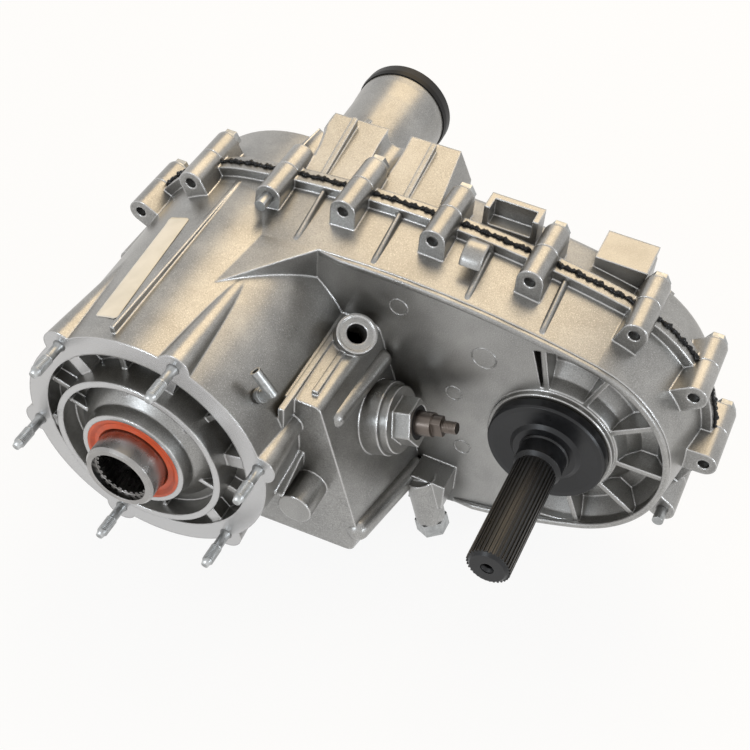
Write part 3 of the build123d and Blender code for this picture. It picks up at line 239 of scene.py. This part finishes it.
def build(name, points, faces, material, body):
    """A smooth mesh piece from an array of points and an array of quads, riding on a body."""
    mesh = bpy.data.meshes.new(name)
    mesh.from_pydata(points.tolist(), [], faces.tolist())
    mesh.polygons.foreach_set("use_smooth", np.ones(len(faces), bool))
    mesh.materials.append(material)
    mesh.update()
    piece = bpy.data.objects.new(name, mesh)
    bpy.context.scene.collection.objects.link(piece)
    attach(piece, body)
    return piece


def grid_faces(rows, columns, closed_rows=False):
    """Quads of a grid that is closed round its columns, and round its rows too if asked."""
    i = np.arange(rows if closed_rows else rows - 1)[:, None]
    j = np.arange(columns)[None, :]
    right = (j + 1) % columns
    below = (i + 1) % rows
    corners = [i * columns + j, below * columns + j, below * columns + right, i * columns + right]
    return np.stack(np.broadcast_arrays(*corners), -1).reshape(-1, 4)


def seam_path(grow, step):
    """The case's outline moved out by grow: four arcs, whose outward angle falls from one to the next.

    An arc of radius R round (cx, cz) is (cx + R cos a, cz + R sin a). The two long arcs touch the
    round ends where the line through both centres meets them. Returns X, Z and the angle a.
    """
    drop = 0.238125
    input_end, output_end, top_arc, low_arc = 0.095 + grow, 0.090 + grow, 0.695 + grow, 0.410 + grow
    ends = {}
    for side, big in ((1, top_arc), (-1, low_arc)):
        to_a, to_b = big - input_end, big - output_end
        cx = (drop ** 2 + to_a ** 2 - to_b ** 2) / (2 * drop)
        cz = -side * math.sqrt(to_a ** 2 - cx ** 2)
        ends[side] = (cx, cz, big, math.atan2(-cz, -cx), math.atan2(-cz, drop - cx))
    top, low = ends[1], ends[-1]
    arcs = [(top[0], top[1], top[2], top[3], top[4]), (drop, 0.0, output_end, top[4], low[4]),
            (low[0], low[1], low[2], low[4], low[3]), (0.0, 0.0, input_end, low[3] + 2 * math.pi, top[3])]
    parts = []
    for cx, cz, radius, start, stop in arcs:
        a = np.linspace(start, stop, max(8, int(abs(stop - start) * radius / step)), endpoint=False)
        parts.append(np.stack([cx + radius * np.cos(a), cz + radius * np.sin(a), a], 1))
    return np.concatenate(parts)


def sealant_bead():
    """A cord of radius r(s) along the seam, where r swells and thins with four waves of s.

    Its centre is pushed out of the seam by 0.4 r, and wanders along Y.
    """
    lip, seam_y, sides = 0.0070, 0.180, 12
    path = seam_path(lip, 0.0007)
    count = len(path)
    s = np.linspace(0, 2 * math.pi, count, endpoint=False)[:, None]
    waves = np.sin(83 * s + 1.0) + 0.8 * np.sin(151 * s + 2.3)
    waves = waves + 0.8 * np.sin(277 * s + 0.4) + 0.6 * np.sin(431 * s)
    r = 0.00155 + 0.00030 * waves
    sway = 0.0004 * np.sin(61 * s + 0.7) + 0.0004 * np.sin(173 * s)
    around = np.linspace(0, 2 * math.pi, sides, endpoint=False)[None, :]
    out = 0.4 * r + r * np.cos(around)
    a = path[:, 2:3]
    points = np.stack([path[:, 0:1] + out * np.cos(a), seam_y + sway + r * np.sin(around),
                       path[:, 1:2] + out * np.sin(a)], -1)
    return build("sealant_bead", points.reshape(-1, 3), grid_faces(count, sides, True), paste, "case")


sealant_bead()


# Cast details on the front half, in its own skin: the raised rim of the chain chamber's wall, two
# round bars on the shift housing, gussets from the leaning wall up to the lip, the tab for a wire,
# and the round marks of the die's ejector pins.
casting = nodes["front_case"].data.materials[0]
wall_y = 0.128
lean_in = 0.008


def closed_tube(points):
    """Draws the first and last ring of a tube in to their middles, which closes its ends."""
    points[0] = points[0].mean(0)
    points[-1] = points[-1].mean(0)
    return points.reshape(-1, 3)


def squared(wave, power):
    """A sine or cosine whose size is raised to a power under 1, which squares a round section."""
    return np.sign(wave) * np.abs(wave) ** power


def chamber_rim():
    """A bead along the wall's front edge, from the roof's end round the output to the housing.

    Its section is a rounded square, 4.4 mm wide and 3.6 mm proud, flush with the wall outside. It
    sinks into the metal over the first and last part of the path.
    """
    roof_end_x, housing_x, width, rise, sides = 0.060, 0.176, 0.0044, 0.0036, 24
    path = seam_path(-lean_in - 0.0004, 0.001)
    first = np.argmin(np.abs(path[:, 0] - roof_end_x) + 10 * (path[:, 1] < 0))
    path = np.roll(path, -first, 0)
    last = np.argmin(np.abs(path[:, 0] - housing_x) + 10 * (path[:, 1] > 0))
    path = path[:last]
    s = np.linspace(0.0, 1.0, len(path))[:, None]
    b = np.linspace(0.0, 2 * math.pi, sides, endpoint=False)[None, :]
    out = width / 2 * (squared(np.cos(b), 0.5) - 1)
    proud = rise * np.minimum(1.0, np.minimum(s, 1.0 - s) * 30)
    sunk = 0.0005
    y = wall_y + sunk - (proud + sunk) * (0.5 - 0.5 * squared(np.sin(b), 0.5))
    x = path[:, 0:1] + out * np.cos(path[:, 2:3])
    z = path[:, 1:2] + out * np.sin(path[:, 2:3])
    points = np.stack(np.broadcast_arrays(x, y, z), -1).copy()
    return build("chamber_rim", closed_tube(points), grid_faces(len(path), sides), casting, "case")


def wall_gussets():
    """Four ribs on the leaning wall, each a bar of rounded section.

    The wall is drawn in by 8 mm at its front. A rib's height over it grows with t from front to
    lip, and its sides lean outward below.
    """
    rows, columns, sunk, rib_x = 24, 20, 0.003, (0.042, 0.098, 0.164, 0.216)
    t = np.linspace(0.0, 1.0, rows)[:, None]
    b = np.linspace(0.0, 2 * math.pi, columns, endpoint=False)[None, :]
    high = (0.0008 + 0.0058 * t) * np.minimum(1.0, t * 10)
    y = wall_y + 0.001 + 0.045 * t
    half = 0.0020 * np.cos(b) * (1.25 - 0.25 * np.sin(b))
    up = (high + sunk) * (0.5 + 0.5 * np.sin(b)) - sunk
    path = seam_path(0.0, 0.002)
    parts = []
    for x in rib_x:
        seam_z = path[np.argmin(np.abs(path[:, 0] - x) + 10 * (path[:, 1] < 0)), 1]
        wall = seam_z - lean_in * (1 - (y - wall_y) / 0.052)
        parts.append(closed_tube(np.stack(np.broadcast_arrays(x + half, y, wall + up), -1).copy()))
    faces = np.concatenate([grid_faces(rows, columns) + k * rows * columns for k in range(len(rib_x))])
    return build("wall_gussets", np.concatenate(parts), faces, casting, "case")


def wire_bracket():
    """A cast tab on the lip: a strip 15 mm wide and 4 mm thick along a bent line in Y and Z.

    The line rises from the lip, leans forward and turns down at its end; its corners are rounded
    by a running mean. The section is a rounded oblong.
    """
    middle_x, width, thick, sides, steps, blur = 0.1585, 0.015, 0.004, 28, 60, 5
    bend = np.array([(0.171, 0.094), (0.1705, 0.106), (0.166, 0.113),
                     (0.158, 0.117), (0.149, 0.113), (0.146, 0.106)])
    along = np.linspace(0, len(bend) - 1, steps)
    line = np.stack([np.interp(along, np.arange(len(bend)), bend[:, k]) for k in range(2)], 1)
    padded = np.pad(line, ((blur, blur), (0, 0)), mode="edge")
    mean = np.ones(2 * blur + 1) / (2 * blur + 1)
    line = np.stack([np.convolve(padded[:, k], mean, "valid") for k in range(2)], 1)
    way = np.gradient(line, axis=0)
    way /= np.linalg.norm(way, axis=1)[:, None]
    b = np.linspace(0.0, 2 * math.pi, sides, endpoint=False)[None, :]
    x = middle_x + width / 2 * squared(np.cos(b), 0.4)
    off = thick / 2 * squared(np.sin(b), 0.5)
    y = line[:, 0:1] - off * way[:, 1:2]
    z = line[:, 1:2] + off * way[:, 0:1]
    points = np.stack(np.broadcast_arrays(x, y, z), -1).copy()
    return build("wire_bracket", closed_tube(points), grid_faces(steps, sides), casting, "case")


def ejector_marks():
    """Flat rings on the front wall, 0.35 mm proud: each is a torus of oval section round its place."""
    steps, sides = 64, 12
    around = np.linspace(0, 2 * math.pi, steps, endpoint=False)[:, None]
    b = np.linspace(0, 2 * math.pi, sides, endpoint=False)[None, :]
    marks = [(0.183, 0.052, 0.0085), (0.120, 0.070, 0.0065), (0.166, 0.010, 0.0060), (0.178, -0.040, 0.0060)]
    parts = []
    for x, z, radius in marks:
        r = radius + 0.0007 * np.cos(b)
        ring = [x + r * np.cos(around), wall_y - 0.00035 * np.sin(b), z + r * np.sin(around)]
        parts.append(np.stack(np.broadcast_arrays(*ring), -1).reshape(-1, 3))
    faces = np.concatenate([grid_faces(steps, sides, True) + k * steps * sides for k in range(len(marks))])
    return build("ejector_marks", np.concatenate(parts), faces, casting, "case")


def housing_ribs():
    """Two bars with round ends, half sunk in the shift housing: above the shift shaft and at its foot.

    Each runs from start to end with radius R(d), the round of a ball over its last R of length
    and R before; rings stand square to the bar.
    """
    rings, sides = 60, 28
    t = np.linspace(0.0, 1.0, rings)[:, None]
    b = np.linspace(0.0, 2 * math.pi, sides, endpoint=False)[None, :]
    parts = []
    bars = [((0.1075, 0.054, 0.021), (0.1145, wall_y, 0.024), 0.0070),
            ((0.1335, 0.042, -0.069), (0.1480, wall_y, -0.072), 0.0085)]
    for start, end, radius in bars:
        start, end = np.array(start), np.array(end)
        length = np.linalg.norm(end - start)
        way = (end - start) / length
        side = np.cross(way, (0.0, 0.0, 1.0))
        side /= np.linalg.norm(side)
        up = np.cross(side, way)
        near = np.clip(np.minimum(t, 1.0 - t) * length, 0.0, radius)
        r = np.sqrt(np.maximum(radius ** 2 - (radius - near) ** 2, 0.0))
        ring = (r * np.cos(b))[..., None] * side + (r * np.sin(b))[..., None] * up
        parts.append(closed_tube(start + t[..., None] * (end - start) + ring))
    faces = np.concatenate([grid_faces(rings, sides) + k * rings * sides for k in range(len(bars))])
    return build("housing_ribs", np.concatenate(parts), faces, casting, "case")


chamber_rim()
housing_ribs()
wall_gussets()
wire_bracket()
ejector_marks()


# Machined steel: the input gear, shafts, gears and bearings, ground or turned bright, with fine
# rings and a trace of oil.
def machined_steel(name, color, roughness, centre=(0.0, 0.0, 0.0)):
    """Turned steel round an axis along Y through centre."""
    material, tree, shader, place = surface(name, 1.0, roughness, color)
    soft, edge = rounded_edges(tree, 0.0005)
    cloud = noise(tree, place, 60.0, 4.0)
    stretch = add_node(tree, "ShaderNodeMapping", {"Vector": place, "Scale": (40.0, 2600.0, 40.0)}).outputs[0]
    lines = noise(tree, stretch, 1.0, 2.0)
    rings = lathe_marks(tree, place, centre, 0.0005)
    height = add_node(tree, "ShaderNodeMix", {0: facing(tree, 1), 2: lines, 3: rings}).outputs[0]
    dull = tuple(0.72 * c for c in color)
    shade = mix_color(tree, spread(tree, cloud, 0.35, 0.7), dull, color)
    bright = tuple(min(1.0, 1.5 * c) for c in color)
    # Painted highlight: the colour is lightened along the edges.
    shade = mix_color(tree, math_node(tree, "MULTIPLY", edge, 0.6), shade, bright)
    add_bump(tree, shader, 0.2, 0.0001, height, soft)
    tree.links.new(shade, shader.inputs["Base Color"])
    rough = spread(tree, cloud, 0.3, 0.7, roughness - 0.05, roughness + 0.1)
    tree.links.new(rough, shader.inputs["Roughness"])
    shader.inputs["Anisotropic"].default_value = 0.3
    return material


dress(machined_steel("ground_hub", (0.42, 0.41, 0.40), 0.24), "input_gear")
dress(machined_steel("bearing_steel", (0.60, 0.60, 0.60), 0.2), "input_bearing_race", "input_bearing_balls",
      "input_bearing_cone", "input_bearing_clip", "pilot_bearing", "rear_bearing_race", "rear_bearing_balls",
      "rear_bearing_cone", "rear_bearing_clip")
dress(machined_steel("gear_steel", (0.38, 0.38, 0.39), 0.3), "annulus_gear", "planet_carrier", "planet_pins",
      "mainshaft", "range_sleeve", "mode_hub", "mode_sleeve", "drive_sprocket", "pump_rotor", "speed_wheel",
      "sector_plate", "shift_rail", "planet_gear_1", "planet_gear_2", "planet_gear_3", "planet_gear_4")
drop = (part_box("front_output_shaft")[0][0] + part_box("front_output_shaft")[1][0]) / 2
dress(machined_steel("output_steel", (0.45, 0.45, 0.46), 0.26, (drop, 0.0, 0.0)), "driven_sprocket",
      "output_bearing_race", "output_bearing_balls", "output_bearing_cone", "output_rear_bearing")


# Zinc plated steel: screws, studs, dowels, plugs, vent and pickup tube, bluish grey and a little
# cloudy.
def zinc_plate(name, color, roughness):
    """Plated steel: cloudy, with painted shade in its corners and a painted highlight on its edges."""
    material, tree, shader, place = surface(name, 1.0, roughness, color)
    soft, edge = rounded_edges(tree, 0.0005)
    cloud = noise(tree, place, 240.0, 5.0, 0.65)
    hollow = hollows(tree, 0.004, 4)
    shade = mix_color(tree, spread(tree, cloud, 0.35, 0.65), tuple(0.66 * c for c in color), color)
    # Painted shade: the colour darkens where other metal stands close.
    shade = mix_color(tree, spread(tree, hollow, 0.8, 0.3, 0.0, 0.7), shade, (0.08, 0.075, 0.07))
    # Painted highlight: the colour is lightened towards pale grey along the edges.
    shade = mix_color(tree, math_node(tree, "MULTIPLY", edge, 0.5), shade, (0.85, 0.87, 0.88))
    add_bump(tree, shader, 0.25, 0.0001, cloud, soft)
    tree.links.new(shade, shader.inputs["Base Color"])
    return material


zinc = zinc_plate("zinc_plate", (0.46, 0.47, 0.47), 0.36)
dress(zinc, "case_bolts", "tail_bolts", "mounting_studs", "locating_dowels", "drain_plug", "fill_plug",
      "vent_tube", "pickup_tube")


# Studs of the front flange: steel, zinc plated, with a rolled thread, a plain waist and a turned-down
# point.
def stud_threads():
    """Each stud is r(y, a) round its axis: a turned profile, less a V groove that climbs one pitch a turn."""
    pitch, sides, count, circle_r, first = 0.00125, 32, 6, 0.086, math.radians(13.0)
    y = np.concatenate([[-0.029, -0.029, -0.0262, -0.0255], np.arange(-0.0252, -0.0125, pitch / 8),
                        [-0.0120, -0.0020, -0.0010, 0.0005, 0.0140, 0.0140]])
    turned = np.interp(y, [-0.029, -0.0265, -0.0252, -0.0128, -0.0120, -0.0020, -0.0010, 0.015],
                       [0.0026, 0.0029, 0.0040, 0.0040, 0.0034, 0.0034, 0.0040, 0.0040])
    turned[[0, -1]] = 0.0
    grooved = np.interp(y, [-0.0254, -0.0248, -0.0134, -0.0128], [0.0, 1.0, 1.0, 0.0])
    a = np.linspace(0, 2 * math.pi, sides, endpoint=False)
    phase = (y[:, None] / pitch - a[None, :] / (2 * math.pi)) % 1.0
    depth = 0.0007 * np.clip(1.25 - np.abs(2 * phase - 1) * 1.5, 0.0, 1.0)
    r = turned[:, None] - grooved[:, None] * depth
    one = np.stack([r * np.cos(a), np.broadcast_to(y[:, None], r.shape), r * np.sin(a)], -1).reshape(-1, 3)
    seats = first + np.arange(count) * 2 * math.pi / count
    places = np.stack([circle_r * np.cos(seats), 0 * seats, circle_r * np.sin(seats)], 1)
    points = (one[None] + places[:, None]).reshape(-1, 3)
    faces = grid_faces(len(y), sides)
    faces = (faces[None] + len(one) * np.arange(count)[:, None, None]).reshape(-1, 4)
    return build("stud_threads", points, faces, zinc, "case")


studs = stud_threads()
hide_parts("mounting_studs")


# Input seal: a steel ring covered in red-orange silicone, pressed into its boss, with its lip on
# the gear's journal.
def rubber(name, color, roughness, gloss=0.5):
    """Moulded rubber or nylon: a fine grain, with painted shade in its grooves."""
    material, tree, shader, place = surface(name, 0.0, roughness, color)
    soft, edge = rounded_edges(tree, 0.0006)
    cloud = noise(tree, place, 150.0, 4.0)
    shade = mix_color(tree, spread(tree, cloud, 0.3, 0.7), tuple(0.75 * c for c in color), color)
    hollow = hollows(tree, 0.005, 4)
    # Painted shade: the colour darkens where other surfaces stand close.
    shade = mix_color(tree, spread(tree, hollow, 0.7, 0.2, 0.0, 0.5), shade, tuple(0.25 * c for c in color))
    add_bump(tree, shader, 0.15, 0.0001, noise(tree, place, 1800.0), soft)
    shader.inputs["Specular IOR Level"].default_value = gloss
    tree.links.new(shade, shader.inputs["Base Color"])
    return material


dress(rubber("red_silicone", (0.68, 0.10, 0.03), 0.38), "input_seal")
dress(rubber("black_rubber", (0.010, 0.010, 0.011), 0.42, 0.25), "output_seal", "sector_seal", "tail_seal",
      "tail_boot")
dress(rubber("black_nylon", (0.02, 0.02, 0.022), 0.38), "speed_sensor")


# Front output shaft, slinger and chain: steel with a black phosphate skin, oiled to a soft shine.
def phosphate(name, color, roughness):
    """Black phosphate skin, greyer on its edges."""
    material, tree, shader, place = surface(name, 0.2, roughness, color)
    soft, edge = rounded_edges(tree, 0.0005)
    cloud = noise(tree, place, 120.0, 5.0, 0.65)
    shade = mix_color(tree, spread(tree, cloud, 0.3, 0.7), color, tuple(1.8 * c for c in color))
    shade = mix_color(tree, math_node(tree, "MULTIPLY", edge, 0.7), shade, (0.09, 0.09, 0.095))
    add_bump(tree, shader, 0.2, 0.0001, cloud, soft)
    tree.links.new(shade, shader.inputs["Base Color"])
    rough = spread(tree, cloud, 0.3, 0.7, roughness - 0.06, roughness + 0.1)
    tree.links.new(rough, shader.inputs["Roughness"])
    return material


dress(phosphate("black_phosphate", (0.0065, 0.007, 0.0085), 0.32), "front_output_shaft", "slinger_disc",
      "drive_chain", "sump_magnet")


# Selector shaft: hardened steel, brown from its heat treatment, with two flats and a thread.
brown = machined_steel("brown_steel", (0.20, 0.17, 0.15), 0.34)
dress(brown, "sector_shaft")


def selector_thread():
    """A rolled thread over the shaft's end: r = 4 mm plus a V ridge that climbs 1.25 mm a turn.

    The first and last rings lie inside the shaft and close the sleeve.
    """
    tilt = math.radians(17.0)
    out = np.array([math.cos(tilt), 0.0, math.sin(tilt)])
    across = np.array([-math.sin(tilt), 0.0, math.cos(tilt)])
    seat = np.array([0.138, 0.100, -0.004])
    pitch, sides, start, stop = 0.00125, 40, 0.0345, 0.0440
    t = np.concatenate([[start], np.arange(start, stop, pitch / 10), [stop]])
    a = np.linspace(0, 2 * math.pi, sides, endpoint=False)
    phase = (t[:, None] / pitch - a[None, :] / (2 * math.pi)) % 1.0
    ends = np.interp(t, [start, start + 0.001, stop - 0.0015, stop], [0.0, 1.0, 1.0, 0.0])[:, None]
    r = 0.00403 + ends * 0.00040 * np.abs(2 * phase - 1)
    r[[0, -1]] = 0.0036
    points = (seat + t[:, None, None] * out + (r * np.cos(a))[..., None] * across
              + (r * np.sin(a))[..., None] * np.array([0.0, 1.0, 0.0]))
    return build("selector_thread", points.reshape(-1, 3), grid_faces(len(t), sides, True), brown, "selector")


selector_thread()


# Label: a strip of white coated paper bent round the barrel, left blank, its corners rounded and
# one of them lifting a little.
def label():
    """A sheet on the barrel, whose radius R(y) grows from 89 mm by 5 mm over 173 mm.

    A point stands at R(y) plus 0.15 mm plus a lift that grows towards one corner, at the angle of
    115 degrees plus w / R. w runs from side to side and is drawn in near the ends by the corner's
    round.
    """
    rows, columns = 60, 16
    v = np.linspace(0.0, 1.0, rows)[:, None]
    u = np.linspace(-1.0, 1.0, columns)[None, :]
    length, corner = 0.106, 0.0022
    short = np.minimum(v, 1 - v) * length
    round_off = corner - np.sqrt(np.maximum(corner ** 2 - (corner - short) ** 2, 0.0))
    inset = np.where(short < corner, round_off, 0.0)
    half = 0.0096 - inset
    middle_w = -0.0030 + v * 0.0074
    w = middle_w + u * half
    y = 0.0195 + v * length + 0.0009 * u
    lift = 0.00015 + 0.0012 * np.clip(v - 0.93, 0, 1) * np.clip(u - 0.2, 0, 1) * 10
    barrel = 0.089 + 0.005 * y / 0.173
    a = math.radians(115.0) + w / barrel
    x = (barrel + lift) * np.cos(a)
    z = (barrel + lift) * np.sin(a)
    points = np.stack([x, np.broadcast_to(y, w.shape), z], -1).reshape(-1, 3)
    i = np.arange(rows - 1)[:, None] * columns
    j = np.arange(columns - 1)[None, :]
    faces = np.stack([i + j, i + columns + j, i + columns + j + 1, i + j + 1], -1).reshape(-1, 4)
    material, tree, shader, place = surface("label_paper", 0.0, 0.42, (0.80, 0.80, 0.79))
    cloud = spread(tree, noise(tree, place, 60.0), 0.35, 0.65)
    add_bump(tree, shader, 0.1, 0.00005, noise(tree, place, 900.0, 3.0))
    shade = mix_color(tree, cloud, (0.74, 0.74, 0.725), (0.83, 0.83, 0.82))
    tree.links.new(shade, shader.inputs["Base Color"])
    piece = build("label", points, faces, material, "case")
    solid = piece.modifiers.new("thickness", "SOLIDIFY")
    solid.thickness, solid.offset = 0.00012, 0.0
    return piece


label()


# Selector retainer: a hexagonal nut with a round flange, cast in the same bright alloy.
dress(cast_aluminium("retainer_alloy"), "sector_retainer")


# Tail bush: sintered bronze, pressed into the tail's end.
dress(machined_steel("bronze", (0.50, 0.34, 0.15), 0.3), "tail_bush")


# Floor and studio: a pale floor under a white backdrop, a broad warm lamp overhead and behind, and
# two small cool ones in front and at the right.
def background_rays(tree):
    """1 for the rays that see the background: from the camera, off a gloss or through glass."""
    path = tree.nodes.new("ShaderNodeLightPath").outputs
    glossy = math_node(tree, "MAXIMUM", path["Is Glossy Ray"], path["Is Transmission Ray"])
    return math_node(tree, "MAXIMUM", path["Is Camera Ray"], glossy)


floor_z = cad_box[0][2] - 0.0005
floor_mesh = bpy.data.meshes.new("floor")
half = 6.0
corners = [(-half, -half, floor_z), (half, -half, floor_z), (half, half, floor_z), (-half, half, floor_z)]
floor_mesh.from_pydata(corners, [], [(0, 1, 2, 3)])
floor = bpy.data.objects.new("floor", floor_mesh)
bpy.context.scene.collection.objects.link(floor)
pale, pale_tree, pale_shader, _ = surface("pale_floor", 0.0, 0.9, (0.86, 0.86, 0.86))
floor_mesh.materials.append(pale)
glow = add_node(pale_tree, "ShaderNodeEmission", {"Color": (1.0, 1.0, 1.0, 1.0), "Strength": 1.0})
seen = math_node(pale_tree, "MULTIPLY", background_rays(pale_tree), 0.9)
blend = add_node(pale_tree, "ShaderNodeMixShader", {0: seen, 1: pale_shader.outputs[0], 2: glow.outputs[0]})
pale_tree.links.new(blend.outputs[0], pale_tree.nodes["Material Output"].inputs["Surface"])

world = bpy.data.worlds.new("studio")
bpy.context.scene.world = world
world.use_nodes = True
sky = world.node_tree
sky_place = sky.nodes.new("ShaderNodeTexCoord").outputs["Generated"]
height = add_node(sky, "ShaderNodeSeparateXYZ", {0: sky_place}).outputs[2]
room = mix_color(sky, spread(sky, height, 0.05, 0.55), (0.60, 0.65, 0.74), (0.66, 0.56, 0.40))
room = mix_color(sky, background_rays(sky), room, (1.0, 1.0, 1.0))
sky.links.new(room, sky.nodes["Background"].inputs["Color"])
sky.nodes["Background"].inputs["Strength"].default_value = 1.0


def lamp(name, at, target, size, power, color):
    """A square soft lamp at a place, turned to face the target."""
    data = bpy.data.lights.new(name, "AREA")
    data.energy, data.size, data.color = power, size, color
    made = bpy.data.objects.new(name, data)
    bpy.context.scene.collection.objects.link(made)
    made.location = at
    z = np.array(at, float) - np.array(target, float)
    z /= np.linalg.norm(z)
    x = np.cross((0.0, 1.0, 0.1), z)
    x /= np.linalg.norm(x)
    turn = np.array([x, np.cross(z, x), z]).T
    made.rotation_mode = "QUATERNION"
    made.rotation_quaternion = Matrix(turn.tolist()).to_quaternion()


middle = (0.12, 0.15, 0.0)
lamp("overhead", (0.0, 1.1, 1.3), middle, 1.3, 12.5, (1.0, 0.74, 0.40))
lamp("front_key", (-0.5, -1.3, 0.7), middle, 0.4, 6.0, (0.86, 0.93, 1.0))
lamp("right_fill", (1.6, -0.3, 0.5), middle, 0.5, 6.0, (0.88, 0.94, 1.0))


# Camera: where the photographer stood, in front of, to the right of and above the unit.
eye = (0.3438, -0.4846, 0.6894)
right = (0.9070, 0.4168, 0.0595)
up = (-0.3404, 0.6426, 0.6864)
back = (0.2479, -0.6429, 0.7248)
camera_data = bpy.data.cameras.new("camera")
camera_data.lens = 65.54
camera_data.sensor_width = 36.0
camera = bpy.data.objects.new("camera", camera_data)
bpy.context.scene.collection.objects.link(camera)
camera.matrix_world = Matrix([[right[k], up[k], back[k], eye[k]] for k in range(3)] + [[0, 0, 0, 1]])
bpy.context.scene.camera = camera
bpy.context.scene.view_settings.view_transform = "Standard"
